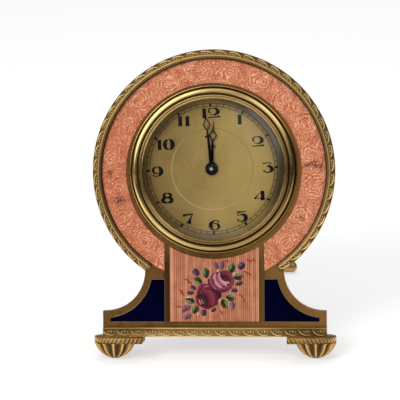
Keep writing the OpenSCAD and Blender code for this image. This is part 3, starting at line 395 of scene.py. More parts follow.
@dataclass(frozen=True)
class Enamel(Recipe):
    """Translucent enamel fused over an engraved ground."""

    deep: Colour
    lit: Colour
    ground: Ground
    chips: tuple[tuple[float, float, float], ...] = ()
    chipped: Colour = (0.055, 0.022, 0.016)
    scroll_count: int = 20
    scroll_at: float = 29.15
    coil_pitch: float = 0.86
    pitch: float = 0.58
    shine: float = 0.5

    def scrolls(self, p: Paint, here: Signal) -> Signal:
        """Rows of scrolls that turn in and out by turns, over a pebbled ground."""
        bend = p.noise(here, 0.42, 2.0) - 0.5
        x, y, _ = p.split(here)
        sway = p.noise(p.moved(here, (13.0, 5.0, 0.0)), 0.28, 2.0) - 0.5
        x, y = x + bend * 2.0 + sway * 5.0, y - HEAD_AT[1] - bend * 1.7 + sway * 4.0
        around = y.maths("ARCTAN2", x) * (self.scroll_count / TURN)
        cell = around.maths("FLOOR")
        half = cell * 0.5
        side = (half - half.maths("FLOOR")) * 4.0 - 1.0
        along = (around - cell - 0.5) * (TURN * self.scroll_at / self.scroll_count)
        across = (x**2.0 + y**2.0) ** 0.5 - self.scroll_at - side * 0.8
        reach = ((along * 0.85) ** 2.0 + across**2.0) ** 0.5
        wind = (across * side).maths("ARCTAN2", along)
        coil = (reach * (TURN / self.coil_pitch) + wind + bend * 3.0).wave()
        pebbles = 1.0 - p.cells(here, 1.5, 0.9).rise(0.08, 0.42)
        curls = (p.cells(here, 0.5) * 21.0 + bend * 8.0).wave()
        outside = (reach + bend * 3.0).rise(2.4, 3.6)
        fade = p.noise(here, 0.4, 3.0).rise(0.36, 0.6) * 0.5 + 0.5
        ground = pebbles * 0.55 + curls**2.0 * 0.4
        return (coil**2.0 * 0.8 * (1.0 - outside) + ground * outside) * fade

    def stripes(self, p: Paint, here: Signal) -> Signal:
        """Upright cut lines of one pitch, with narrow and broad bands of light."""
        x, y, _ = p.split(here)
        sway = p.noise(p.joined(x * 0.4, y * 0.25), 1.0, 1.0) - 0.5
        fine = ((x + sway * 0.1) * (TURN / self.pitch)).wave()
        broad = p.noise(p.joined(x * 0.75, y * 0.02), 1.0, 2.0, 0.7).rise(0.5, 0.62)
        edge = x.abs().rise(11.9, 12.7)
        return (fine * 0.55 + broad * 0.4 + edge * 0.5).clamped()

    def flecked(self, p: Paint, here: Signal, colour: Signal) -> Signal:
        """The colour with painted shade at the left, dark flecks, and painted glints."""
        glint = p.noise(here, 1.8, 2.0).rise(0.59, 0.68)
        fleck = p.noise(p.moved(here, (31.0, 7.0, 0.0)), 1.6, 3.0, 0.7).rise(0.6, 0.7)
        # Painted shade, deeper towards the left
        left = 1.0 - p.split(here)[0].rise(-32.0, -10.0)
        colour = p.mix(left * 0.4, colour, self.deep)
        colour = p.mix(fleck * 0.45, colour, shaded(self.deep, 0.35))
        # Painted glints
        return p.mix(glint * 0.5, colour, tuple(min(1.0, c * 1.4 + 0.03) for c in self.lit))

    def lay(self, p: Paint, here: Signal) -> Material:
        """Lays the colour by the depth of the cuts, and the chips over it."""
        if self.ground is Ground.SCROLLS:
            cut = self.scrolls(p, here)
        elif self.ground is Ground.STRIPES:
            cut = self.stripes(p, here)
        else:
            cut = p.noise(here, 0.12, 2.0).rise(0.4, 0.7)
        cloud = p.noise(here, 0.35, 3.0)
        colour = p.mix((cut * 0.85 + (cloud - 0.5) * 0.6 + 0.08).clamped(), self.deep, self.lit)
        if self.ground is Ground.SCROLLS:
            colour = self.flecked(p, here, colour)
        rough = 0.16 + cloud * 0.06
        shine: Signal | float = self.shine
        ragged = p.noise(here, 1.9, 4.0, 0.75)
        for x, y, size in self.chips:
            near = p.radius(here, (x, y)) / size + (ragged - 0.5) * 4.6
            chip = 1.0 - near.rise(0.3, 0.6)
            colour = p.mix(chip * 0.85, colour, self.chipped)
            rough = rough + chip * 0.4
            shine = shine * (1.0 - chip)
        return p.surface(
            Base_Color=colour, Metallic=0.0, Roughness=rough, Coat_Weight=shine * 0.3,
            Coat_Roughness=0.06, Specular_IOR_Level=shine, Normal=p.bump(cut, 0.02, 0.5),
        )


@dataclass(frozen=True)
class DialGilding(Recipe):
    """Pale satin gilding of the dial, with an engraved circle and age spots."""

    light: Colour = (0.82, 0.565, 0.215)
    dark: Colour = (0.26, 0.155, 0.05)
    circle: float = 11.9
    shadow: Colour = (0.06, 0.045, 0.04)
    grey: Colour = (0.4, 0.38, 0.42)
    line_lit: Colour = (1.0, 0.86, 0.5)
    line_dark: Colour = (0.2, 0.12, 0.04)

    def lay(self, p: Paint, here: Signal) -> Material:
        """Lays spots and wear with painted shade towards the edge and at the left, the painted shadow of the
        bezel at the right, a painted grey reflection near the edge at the upper right, and the circle, lit at
        the lower left.
        """
        ring = p.radius(here, DIAL_AT)
        x, y, _ = p.split(here)
        up = y - HEAD_AT[1]
        brushed = p.noise(p.joined(x * 6.0, y * 0.5), 1.0, 3.0)
        cloud = p.noise(here, 0.13, 3.0)
        spots = p.noise(here, 1.3, 3.0, 0.7).rise(0.57, 0.7) * (1.0 - ring.rise(3.0, 9.0))
        # Painted shade towards the edge under the bezel, and at the left, mixed with the spots and brushing
        edge = ring.rise(15.0, 22.0)
        left = 1.0 - x.rise(-16.0, 8.0)
        worn = (cloud - 0.4) * 0.6 + spots * 0.5 + edge * 0.5 + left * 0.55 + (brushed - 0.5) * 0.25
        colour = p.mix(worn.clamped(), self.light, self.dark)
        shade = ring.rise(17.4, 20.2) * (x * 0.93 + up * 0.37).rise(6.0, 16.0)
        colour = p.mix(shade * 0.82, colour, self.shadow)
        # Painted grey reflection of the glass, in a band near the edge at the upper right
        gleam = 1.0 - (ring - 20.1).abs().rise(0.2, 0.8)
        gleam = gleam * (x * 0.8 + up * 0.6).rise(17.8, 19.8)
        colour = p.mix(gleam * 0.55, colour, self.grey)
        line = 1.0 - (ring - self.circle).abs().rise(0.04, 0.13)
        lit = 1.0 - (x + y - HEAD_AT[1]).rise(-9.0, 11.0)
        colour = p.mix(line * lit * 0.8, colour, self.line_lit)
        colour = p.mix(line * (1.0 - lit) * 0.45, colour, self.line_dark)
        return p.surface(
            Base_Color=colour, Metallic=0.85, Roughness=0.42 + brushed * 0.12,
            Normal=p.bump(brushed - line, 0.01),
        )


@dataclass(frozen=True)
class Ink(Recipe):
    """Baked black print, or blackened steel, with a slight sheen."""

    colour: Colour = (0.004, 0.003, 0.005)
    metallic: float = 0.0
    rough: float = 0.45

    def lay(self, p: Paint, here: Signal) -> Material:
        """Lays the black, rubbed lighter in places."""
        wear = p.noise(here, 1.6, 4.0, 0.6)
        lighter = tuple(c * 1.8 + 0.004 for c in self.colour)
        return p.surface(
            Base_Color=p.mix(wear.rise(0.5, 0.8), self.colour, lighter), Metallic=self.metallic,
            Roughness=self.rough + wear * 0.15, Specular_IOR_Level=0.15, Normal=p.bump(wear, 0.006),
        )


@dataclass(frozen=True)
class ChinaPaint(Recipe):
    """Painted enamel colours, held on the mesh, with the streaks of the brush."""

    pale: Colour = (0.8, 0.5, 0.5)
    deep: Colour = (0.01, 0.002, 0.006)

    def lay(self, p: Paint, here: Signal) -> Material:
        """Lays the mesh's own colour with lighter and darker streaks."""
        laid = p.stored("paint", "Color")
        streak = p.noise(p.moved(here, turn=0.7, scale=(1.0, 5.0, 1.0)), 1.2, 3.0)
        sides = p.mix(0.35, laid, self.deep), p.mix(0.03, laid, self.pale)
        return p.surface(
            Base_Color=p.mix(streak.rise(0.3, 0.7), *sides), Metallic=0.0, Roughness=0.3,
            Specular_IOR_Level=0.3, Normal=p.bump(streak, 0.008),
        )


@dataclass(frozen=True)
class Glass(Recipe):
    """Clear glass that mirrors at a glance and lets light through."""

    tint: Colour = (0.97, 0.98, 0.96)

    def lay(self, p: Paint, here: Signal) -> Material:
        """Lays a mirror with faint smears over a clear pane."""
        smear = p.noise(here, 0.3, 3.0)
        clear = p.node("BsdfTransparent", [(*self.tint, 1.0)])
        gloss = p.node("BsdfGlossy", {"Color": (1.0, 1.0, 1.0, 1.0), "Roughness": 0.03})
        share = p.node("Fresnel", {"IOR": 1.45}) * (0.5 + smear * 0.3)
        return p.done(p.node("MixShader", {0: share, 1: clear, 2: gloss}))


@dataclass
class Finishes:
    """The finishes of this clock by name, each made at its first use."""

    recipes: dict[str, Recipe]
    made: dict[str, Material] = field(default_factory=dict)

    def __getitem__(self, name: str) -> Material:
        """The material of a name."""
        if name not in self.made:
            self.made[name] = self.recipes[name].make(name)
        return self.made[name]


RING_CHIPS = (
    (27.3, 56.6, 1.3), (29.4, 56.8, 2.0), (31.2, 56.4, 1.5), (-30.6, 54.4, 1.7), (-27.6, 46.4, 2.4),
    (25.5, 41.5, 1.1),
)
FINISHES = Finishes({
    # The plate's gilt and the bezel's bright gilt take painted light and shade by their place
    "aged_gilt": Metal((0.35, 0.178, 0.05), (0.055, 0.026, 0.01), 0.36, stain=0.75, dim=0.75),
    "bright_gilt": Metal(
        (0.83, 0.57, 0.22), (0.39, 0.23, 0.07), 0.1, Grain.TURNED, 0.3, 0.0003, carved=True,
        hollow=(0.03, 0.015, 0.004), aged=0.75,
    ),
    "drum_gilt": Metal((0.5, 0.31, 0.12), (0.25, 0.14, 0.045), 0.3, Grain.TURNED, 0.5, 0.003),
    "carved_gilt": Metal((1.0, 0.68, 0.27), (0.8, 0.46, 0.15), 0.24, stain=0.3, carved=True),
    "foot_gilt": Metal((0.95, 0.58, 0.2), (0.36, 0.18, 0.05), 0.25, carved=True),
    "edge_gilt": Metal((0.34, 0.24, 0.12), (0.24, 0.16, 0.07), 0.3, grain_depth=0.002),
    "movement_brass": Metal((0.72, 0.54, 0.24), (0.45, 0.3, 0.11), 0.28, Grain.DRAWN, 0.35, 0.004),
    "polished_steel": Metal((0.55, 0.55, 0.56), (0.3, 0.28, 0.27), 0.24, Grain.DRAWN, 0.3, 0.003),
    "pivot_steel": Metal((0.9, 0.9, 0.92), (0.7, 0.7, 0.72), 0.3, grain_depth=0.001),
    "blued_steel": Ink((0.004, 0.004, 0.008), 0.7, 0.3),
    "ink": Ink(),
    "ring_enamel": Enamel(tone(162, 84, 56), tone(234, 176, 140), Ground.SCROLLS, RING_CHIPS),
    "panel_enamel": Enamel(tone(134, 68, 46), tone(198, 140, 108), Ground.STRIPES),
    "cobalt_enamel": Enamel((0.0001, 0.0001, 0.007), (0.0002, 0.0001, 0.013), Ground.PLAIN, shine=0.1),
    "china_paint": ChinaPaint(),
    "dial_gilding": DialGilding(),
    "glass": Glass(),
})


def put(name: str, data: bpy.types.ID) -> bpy.types.Object:
    """Puts a new object in the scene."""
    made = bpy.data.objects.new(name, data)
    bpy.context.scene.collection.objects.link(made)
    return made


def make_piece(
    name: str,
    bm: BMesh,
    finish: str,
    replaced: Sequence[str] = (),
    body: str = "case",
    tidy: bool = True,
) -> bpy.types.Object:
    """Stands a mesh drawn on the face where the clock stands, and dresses it.

    Args:
        name: the piece's name.
        bm: its mesh, in the face's millimetres, which is freed.
        finish: the name of its finish.
        replaced: construction nodes that it stands for.
        body: the moving body that carries it.
        tidy: whether to merge doubles and turn faces outwards.

    Returns:
        The piece.
    """
    if tidy:
        bmesh.ops.remove_doubles(bm, verts=bm.verts, dist=0.0005)
        bmesh.ops.recalc_face_normals(bm, faces=bm.faces)
    bmesh.ops.transform(bm, matrix=STANCE.matrix(), verts=bm.verts)
    mesh = bpy.data.meshes.new(name)
    bm.to_mesh(mesh)
    bm.free()
    mesh.shade_smooth()
    mesh.materials.append(FINISHES[finish])
    piece = put(name, mesh)
    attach(piece, body)
    if replaced:
        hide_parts(*replaced)
    log.info("%s: %d faces", name, len(mesh.polygons))
    return piece


def spin_profile(
    bm: BMesh, points: Sequence[Point], centre: Point, steps: int,
    start: float = 0.0, sweep: float = 360.0,
) -> None:
    """Turns a closed profile of (radius, height) points round an axis out of the face.

    Args:
        bm: the mesh that receives it.
        points: the profile, as radius and height over the face.
        centre: the axis on the face.
        steps: number of steps of the turn.
        start: direction of the first profile, in degrees.
        sweep: angle turned through, in degrees.
    """
    ux, uy = polar(1.0, start)
    verts = [bm.verts.new((centre[0] + r * ux, centre[1] + r * uy, z)) for r, z in points]
    full = sweep >= 360.0
    geom = verts + [bm.edges.new((a, b)) for a, b in zip(verts, verts[1:] + verts[:1])]
    if not full:
        geom.append(bm.faces.new(verts))
    bmesh.ops.spin(
        bm, geom=geom, cent=(*centre, 0.0), axis=(0.0, 0.0, 1.0), dvec=(0.0, 0.0, 0.0),
        angle=math.radians(sweep), steps=steps, use_merge=full, use_duplicate=False,
    )


@dataclass
class Brush:
    """Collects tapered strokes in a plane and turns them into one mesh."""

    bevel: int = 2
    smooth: int = 5
    strokes: list[Stroke] = field(default_factory=list)

    def add(self, *points: tuple[float, float, float]) -> None:
        """Adds a stroke through points, each with its half width."""
        self.strokes.append(points)

    def mesh(self, flat: float = 1.0) -> Mesh:
        """Mesh of all strokes.

        Args:
            flat: height of the strokes as a share of their width.

        Returns:
            The mesh, in the plane of the strokes.
        """
        curve = bpy.data.curves.new("stroke", "CURVE")
        curve.dimensions = "3D"
        curve.bevel_depth = 1.0
        curve.bevel_resolution = self.bevel
        curve.resolution_u = self.smooth
        curve.use_fill_caps = True
        for points in self.strokes:
            spline = curve.splines.new("BEZIER")
            spline.bezier_points.add(len(points) - 1)
            for knot, (x, y, wide) in zip(spline.bezier_points, points):
                knot.co = (x, y, 0.0)
                knot.radius = wide
                knot.handle_left_type = knot.handle_right_type = "AUTO"
        holder = bpy.data.objects.new("stroke", curve)
        mesh = bpy.data.meshes.new_from_object(holder)
        bpy.data.objects.remove(holder)
        bpy.data.curves.remove(curve)
        mesh.transform(Matrix.Diagonal((1.0, 1.0, flat, 1.0)))
        return mesh


def add_copies(bm: BMesh, mesh: Mesh, places: Iterable[Matrix] = (Matrix(),)) -> None:
    """Adds a copy of a mesh at each place, and frees the mesh."""
    for place in places:
        copy = mesh.copy()
        copy.transform(place)
        bm.from_mesh(copy)
        bpy.data.meshes.remove(copy)
    bpy.data.meshes.remove(mesh)


def set_relief(bm: BMesh, relief: Callable[[Vector], float], first: int = 0) -> None:
    """Stores how raised each vertex from the first one on is, between 0 and 1."""
    layer = bm.verts.layers.float.get("relief") or bm.verts.layers.float.new("relief")
    bm.verts.ensure_lookup_table()
    for v in bm.verts[first:]:
        v[layer] = held(relief(v.co))


@dataclass
class CarvedMotif:
    """Crescent with three leaf tips inside it, which repeats along the mouldings."""

    height: float
    bold: float = 1.0
    pitch: float = 4.15

    def mesh(self) -> Mesh:
        """Mesh of one motif: u along the band, v across it, opening towards v."""
        u, v, k = self.pitch / 2, self.height / 2, self.bold
        brush = Brush(2, 5)
        brush.add(
            (-0.98 * u, 0.9 * v, 0.05), (-0.82 * u, 0.1 * v, 0.15 * k), (-0.42 * u, -0.6 * v, 0.22 * k),
            (0.15 * u, -0.9 * v, 0.2 * k), (0.72 * u, -0.72 * v, 0.1),
        )
        for x0, y0, x1, y1, wide in (
            (-0.02, -0.2, -0.3, 0.45, 0.15), (0.2, -0.3, 0.16, 0.72, 0.19), (0.42, -0.24, 0.66, 0.4, 0.15),
        ):
            middle = ((x0 + x1) / 2 * u, (y0 + y1) / 2 * v, wide * k)
            brush.add((x0 * u, y0 * v, 0.05), middle, (x1 * u, y1 * v, 0.04))
        return brush.mesh(1.3)


@dataclass
class Rim:
    """Carved band and bead round the head."""

    end: float = 146.2
    cells: int = 42
    band_at: float = 34.5
    band_in: float = 34.1
    bead_in: float = 33.06
    ground: float = 0.74

    def relief(self, co: Vector) -> float:
        """How raised a point is: plain inside the bead, deep in the carved band."""
        r = math.hypot(co.x, co.y - HEAD_AT[1])
        if r < self.band_in:
            return 0.02 if r < self.bead_in else 0.2 + (co.z - self.ground) * 1.9
        if co.z < self.ground - 0.2:
            return 0.5
        return 0.48 + (co.z - self.ground - 0.04) / 0.14

    def build(self) -> None:
        """Builds the rim and its carving."""
        bm = bmesh.new()
        profile = [
            (32.7, 0.0), (32.7, 0.5), (32.78, 0.58), (33.0, 0.6), (33.08, 0.72), (33.5, 0.74), (33.58, 0.84),
            (33.66, 0.98), (33.8, 1.04), (33.94, 0.98), (34.04, 0.82), (34.14, 0.74), (34.9, 0.74),
            (35.2, 0.66), (35.42, 0.4), (35.5, 0.0), (35.5, -1.4), (34.66, -1.4), (34.66, 0.0),
        ]
        spin_profile(bm, profile, HEAD_AT, 192, 90.0 - self.end, 2 * self.end)
        step = 2 * self.end / self.cells
        places = []
        for i in range(self.cells):
            a = 90.0 - self.end + (i + 0.5) * step
            x, y = polar(self.band_at, a)
            places.append(shift(x, y + HEAD_AT[1], self.ground + 0.06) @ turned(a + 90.0))
        add_copies(bm, CarvedMotif(1.2).mesh(), places)
        set_relief(bm, self.relief)
        make_piece("rim_carving", bm, "carved_gilt", ("rim_moulding",))


@dataclass
class BaseMoulding:
    """Carved band across the foot of the plate."""

    half: float = 32.8
    low: float = 6.5
    high: float = 9.2
    back: float = -7.8
    cells: int = 16
    band_at: float = 7.82
    band_top: float = 8.88
    ground: float = 0.9

    def relief(self, co: Vector) -> float:
        """How raised a point is: deep in the band, plain on its edges."""
        top = co.y > self.band_top and co.z > self.ground
        edge = 0.7 if top else 0.5 if co.y < self.low + 0.13 else 0.0
        return max(edge, 0.46 + (co.z - self.ground - 0.05) / 0.3)

    def build(self) -> None:
        """Builds the moulding and its carving."""
        bm = bmesh.new()
        profile = [
            (self.low, self.back), (self.low, 1.0), (self.low + 0.12, 1.08), (self.low + 0.2, 1.06),
            (self.low + 0.28, self.ground), (8.82, self.ground), (self.band_top, 0.98), (8.98, 1.06),
            (9.12, 1.02), (self.high, 0.9), (self.high, self.back),
        ]
        verts = [bm.verts.new((-self.half, y, z)) for y, z in profile]
        grown = bmesh.ops.extrude_face_region(bm, geom=[bm.faces.new(verts)])
        moved = [g for g in grown["geom"] if isinstance(g, bmesh.types.BMVert)]
        bmesh.ops.translate(bm, verts=moved, vec=(2 * self.half, 0.0, 0.0))
        pitch = 2 * self.half / self.cells
        places = [
            shift(-self.half + (i + 0.5) * pitch, self.band_at, self.ground + 0.04)
            for i in range(self.cells)
        ]
        add_copies(bm, CarvedMotif(1.95, 1.05).mesh(), places)
        set_relief(bm, self.relief)
        make_piece("base_carving", bm, "carved_gilt", ("base_moulding",))


@dataclass
class Foot:
    """Bun foot with narrow raised ribs under a carved collar."""

    side: int
    axis_x: float = 29.6
    axis_z: float = -2.6
    radius: float = 6.0
    pad: float = 1.1
    pad_fade: float = 1.6
    rows: int = 12
    row_spread: float = 1.4
    collar_y: float = 4.6
    collar_h: float = 1.9
    collar_fade: float = 0.5
    reach: float = 5.93
    tail: float = 8.4
    leaf_pitch: float = 1.12
    ribs: int = 12
    rib_sharp: int = 8
    groove: float = 0.2

    @property
    def middle(self) -> float:
        """Height of the middle of the collar."""
        return self.collar_y + self.collar_h / 2

    def bun_at(self, y: float) -> float:
        """Radius of the bun at a height over its pole."""
        whole = (self.radius**2 + self.collar_y**2) / (2 * self.collar_y)
        return math.sqrt(max(0.0, whole**2 - (whole - y) ** 2))

    def rib(self, co: Vector) -> float:
        """How near a point of the bun is to the top of a rib, from 0 to 1."""
        return abs(math.cos(math.atan2(co.z, co.x) * self.ribs / 2)) ** self.rib_sharp

    def bun(self, bm: BMesh) -> None:
        """Spins the bun about its own axis and sinks the grooves between its ribs."""
        heights = [self.collar_y * (i / self.rows) ** self.row_spread for i in range(1, self.rows + 1)]
        outline = [(self.pad, 0.0)] + [(self.bun_at(y), y) for y in heights]
        verts = [bm.verts.new((r, y, 0.0)) for r, y in outline]
        verts.insert(0, bm.verts.new((0.0, 0.0, 0.0)))
        edges = [bm.edges.new(pair) for pair in zip(verts, verts[1:])]
        bmesh.ops.spin(
            bm, geom=verts + edges, cent=(0.0, 0.0, 0.0), axis=(0.0, 1.0, 0.0),
            dvec=(0.0, 0.0, 0.0), angle=TURN, steps=self.ribs * 12, use_merge=True,
        )
        set_relief(bm, lambda co: 0.08 + self.rib(co) * 0.9 + (0.3 if co.xz.length < 1.2 else 0.0))
        for v in bm.verts:
            out = held((v.co.xz.length - self.pad) / self.pad_fade)
            under = held((self.collar_y - v.co.y) / self.collar_fade)
            k = 1.0 - self.groove * (1.0 - self.rib(v.co)) * out * under
            v.co.x *= k
            v.co.z *= k
        bmesh.ops.transform(bm, matrix=shift(self.axis_x, 0.0, self.axis_z), verts=bm.verts)
        slope = math.tan(STANCE.lean)
        for v in bm.verts:
            v.co.y = max(v.co.y, (self.axis_z - v.co.z) * slope)

    def collar_places(self) -> list[Matrix]:
        """Places of the leaves along the collar's tail and round its end."""
        count = int(self.tail / self.leaf_pitch)
        around = int(math.pi * self.reach / self.leaf_pitch)
        turns = [90.0 - (i + 0.5) * 180.0 / around for i in range(around)]
        spots = [(-self.tail * (1.0 - (i + 0.5) / count), self.reach, 90.0) for i in range(count)]
        spots += [(*polar(self.reach, a), a) for a in turns]
        return [
            shift(self.axis_x + x, self.middle, self.axis_z + z) @ turned(90.0 - a, "Y") for x, z, a in spots
        ]

    def collar(self, bm: BMesh) -> None:
        """Adds the collar, its square tail and its leaves."""
        first = len(bm.verts)
        bmesh.ops.create_cone(
            bm, cap_ends=True, segments=96, radius1=self.reach, radius2=self.reach, depth=self.collar_h,
            matrix=shift(self.axis_x, self.middle, self.axis_z) @ turned(90.0, "X"),
        )
        size = Matrix.Diagonal((self.tail, self.collar_h, self.reach * 2, 1.0))
        tail_at = shift(self.axis_x - self.tail / 2, self.middle, self.axis_z)
        bmesh.ops.create_cube(bm, size=1.0, matrix=tail_at @ size)
        set_relief(bm, lambda co: 0.3, first)
        first = len(bm.verts)
        leaf = Brush(1, 4)
        leaf.add((-0.6, 0.85, 0.06), (-0.05, 0.1, 0.2), (0.55, -0.8, 0.07))
        leaf.add((-0.1, 0.9, 0.04), (0.2, 0.4, 0.1), (0.5, -0.1, 0.04))
        add_copies(bm, leaf.mesh(0.8), self.collar_places())
        set_relief(bm, lambda co: 1.0, first)

    def build(self) -> None:
        """Builds one foot."""
        bm = bmesh.new()
        self.bun(bm)
        self.collar(bm)
        if self.side < 0:
            bmesh.ops.scale(bm, verts=bm.verts, vec=(-1.0, 1.0, 1.0))
            bmesh.ops.reverse_faces(bm, faces=bm.faces)
        word = "left" if self.side < 0 else "right"
        make_piece(f"carved_foot_{word}", bm, "foot_gilt", (f"foot_{word}",))


@dataclass
class CellEdges:
    """Bright gilt fillets round the blue enamels."""

    inner: float = 14.56
    outer: float = 30.78
    low: float = 10.81
    high: float = 23.36
    hollow_at: Point = (32.3, 26.0)
    hollow_r: float = 14.02
    width: float = 0.1

    def build(self) -> None:
        """Builds the fillets."""
        cx, cy = self.hollow_at
        first = 180.0 + math.degrees(math.asin((cy - self.high) / self.hollow_r))
        last = 270.0 - math.degrees(math.asin((cx - self.outer) / self.hollow_r))
        hollow = arc(self.hollow_at, self.hollow_r, first, last, 14)
        start = (self.inner, self.low)
        corners = [start, (self.inner, self.high), *hollow, (self.outer, self.low), start]
        brush = Brush(1, 2)
        for side in (-1, 1):
            for (x0, y0), (x1, y1) in zip(corners, corners[1:]):
                brush.add((side * x0, y0, self.width), (side * x1, y1, self.width))
        bm = bmesh.new()
        add_copies(bm, brush.mesh(0.5))
        make_piece("cell_edges", bm, "edge_gilt", tidy=False)


@dataclass
class Bezel:
    """Stepped and polished ring round the glass, with dark grooves as (radius, width)."""

    steps: int = 256
    grooves: tuple[Point, ...] = ((23.86, 0.24), (22.2, 0.28), (21.47, 0.06))

    def relief(self, co: Vector) -> float:
        """How clear of the dark grooves a point is."""
        r = math.hypot(co.x, co.y - BEZEL_AT[1])
        return min((abs(r - at) - wide * 0.5) / wide for at, wide in self.grooves)

    def build(self) -> None:
        """Builds the bezel."""
        profile = [
            (21.1, 1.4), (21.1, 1.5), (20.64, 1.54), (20.62, 1.58), (21.42, 2.02),
            *arc((21.68, 1.98), 0.16, 190.0, -10.0, 8),
            (21.95, 1.72), (22.25, 1.62), (22.4, 1.66), (22.44, 2.1), (22.52, 2.34),
            *arc((22.47, 0.72), 1.74, 85.0, 45.0, 16),
            (23.74, 1.3), (23.78, 0.95), (23.98, 0.82), (24.08, 0.86),
            *arc((24.29, 0.86), 0.21, 170.0, -10.0, 10),
            (24.5, 0.6), (24.5, 0.0), (22.5, 0.0), (22.5, -1.0), (21.8, -1.0), (21.8, 1.4),
        ]
        bm = bmesh.new()
        spin_profile(bm, profile, BEZEL_AT, self.steps)
        set_relief(bm, self.relief)
        make_piece("bezel_turning", bm, "bright_gilt", ("bezel",))


def bowl(
    x: float, y: float, rx: float, ry: float, a0: float, a1: float, thick: float, thin: float,
    steps: int = 12,
) -> Stroke:
    """Points of a round stroke that is thick where it runs upright."""
    points = []
    for i in range(steps + 1):
        a = math.radians(a0 + (a1 - a0) * i / steps)
        wide = thin + (thick - thin) * abs(math.cos(a)) ** 1.6
        points.append((x + rx * math.cos(a), y + ry * math.sin(a), wide))
    return points


# Each digit's width and strokes, as x, y and half width in hundredths of its height
SIX = [
    bowl(56, 36, 42, 32, -100, 110, 12, 3.5),
    ((98, 78, 8.5), (86, 94, 3.5), (52, 93, 5), (22, 66, 17), (20, 38, 19), (36, 10, 10), (56, 3, 3.5)),
]
DIGITS: dict[str, tuple[int, Sequence[Stroke]]] = {
    "0": (112, [
        ((56, 2, 3), (near, 14, w), (far, 50, w + 8), (near, 86, w), (56, 98, 3))
        for near, far, w in ((30, 19, 12), (82, 93, 14))
    ]),
    "1": (40, [((20, 3, 17), (20, 50, 16), (20, 97, 17)), ((2, 3, 3), (40, 3, 3))]),
    "2": (120, [
        ((30, 56, 3), (12, 62, 7), (16, 86, 6), (52, 98, 3.5), (90, 84, 12), (98, 60, 19), (76, 38, 9),
         (44, 32, 3), (20, 44, 3.5)),
        ((4, 7, 4.5), (60, 10, 5.5), (120, 15, 8)),
    ]),
    "3": (110, [
        ((4, 92, 5), (40, 94, 4.5), (90, 97, 3)),
        ((90, 96, 3), (74, 74, 3.5), (46, 62, 3)),
        ((46, 62, 3), (82, 55, 12), (94, 30, 19), (70, 6, 6), (36, 4, 4), (12, 22, 9)),
    ]),
    "4": (112, [
        ((86, 96, 16), (86, 50, 16), (86, 3, 17)),
        ((80, 94, 3), (46, 60, 3.5), (6, 20, 8)),
        ((6, 20, 4), (50, 22, 3), (112, 22, 4.5)),
    ]),
    "5": (108, [
        ((10, 92, 9), (50, 95, 5.5), (100, 100, 2.5)),
        ((10, 92, 3), (12, 62, 3)),
        ((12, 60, 3), (50, 70, 6), (84, 56, 17), (90, 30, 19), (62, 5, 6), (26, 7, 4), (8, 24, 9)),
    ]),
    "6": (114, SIX),
    "7": (110, [
        ((6, 86, 12), (50, 93, 7.5), (108, 98, 5)),
        ((98, 92, 3), (78, 50, 8), (60, 8, 22)),
        ((38, 3, 3), (82, 3, 3)),
    ]),
    "8": (126, [
        ((63, y0, 4), (63 + side * x1, y1, w1), (63 + side * x2, y2, w2), (63, y3, 4))
        for y0, x1, y1, w1, x2, y2, w2, y3 in (
            (56, 29, 66, 13, 33, 82, 13, 98), (54, 37, 42, 16, 41, 20, 17, 2),
        )
        for side in (-1, 1)
    ]),
    "9": (114, [[(114 - x, 100 - y, w) for x, y, w in stroke] for stroke in SIX]),
}


@dataclass
class DialPrint:
    """Numerals and minute track baked on the dial."""

    numeral_h: float = 3.0
    reach: tuple[float, float, float] = (15.65, 16.2, 16.5)
    bold: float = 1.1
    gap: float = 14
    gap_eleven: float = 30
    nudge: Point = (0.08, -0.2)
    nudges: dict[int, Point] = field(
        default_factory=lambda: {
            1: (0.36, -0.1), 2: (0.17, -0.36), 4: (0.0, -0.45), 5: (-0.05, 0.05), 6: (0.1, 0.0),
            7: (0.6, -0.14), 10: (0.3, -0.2), 11: (0.5, 0.0), 12: (0.33, -0.17),
        }
    )
    track: tuple[float, float] = (18.3, 19.2)
    line: float = 0.07
    tick: float = 0.16
    tick_five: float = 0.6
    thick: float = 0.02
    top: float = DIAL_Z + 0.03

    def numerals(self) -> Mesh:
        """Mesh of the twelve numerals, which stand upright."""
        brush = Brush(1, 5)
        unit = self.numeral_h / 100
        near, flat, far = self.reach
        for hour in range(1, 13):
            text = str(hour)
            gap = self.gap_eleven if hour == 11 else self.gap
            width = sum(DIGITS[d][0] for d in text) + gap * (len(text) - 1)
            reach = near if hour % 6 in (2, 4) else flat if hour in (3, 9) else far
            cx, cy = polar(reach, 90.5 - hour * 30.0)
            dx, dy = self.nudges.get(hour, self.nudge)
            x, y = cx + dx - width * unit / 2, cy + dy - 50 * unit
            for digit in text:
                wide, strokes = DIGITS[digit]
                for stroke in strokes:
                    brush.add(*[(x + px * unit, y + py * unit, w * unit * self.bold) for px, py, w in stroke])
                x += (wide + gap) * unit
        return brush.mesh(0.02)

    def build(self) -> None:
        """Builds the print."""
        bm = bmesh.new()
        add_copies(bm, self.numerals())
        for r in self.track:
            low, high = r - self.line, r + self.line
            section = [(low, -self.thick), (high, -self.thick), (high, 0.0), (low, 0.0)]
            spin_profile(bm, section, (0.0, 0.0), 180)
        inner, outer = self.track
        for i in range(60):
            x, y = polar((inner + outer) / 2, i * 6.0)
            wide = self.tick if i % 5 else self.tick_five
            size = Matrix.Diagonal((outer - inner, wide, self.thick, 1.0))
            place = shift(x, y, -self.thick / 2) @ turned(i * 6.0) @ size
            bmesh.ops.create_cube(bm, size=1.0, matrix=place)
        bmesh.ops.transform(bm, matrix=shift(*DIAL_AT, self.top) @ turned(DIAL_TURN), verts=bm.verts)
        make_piece("dial_print", bm, "ink")


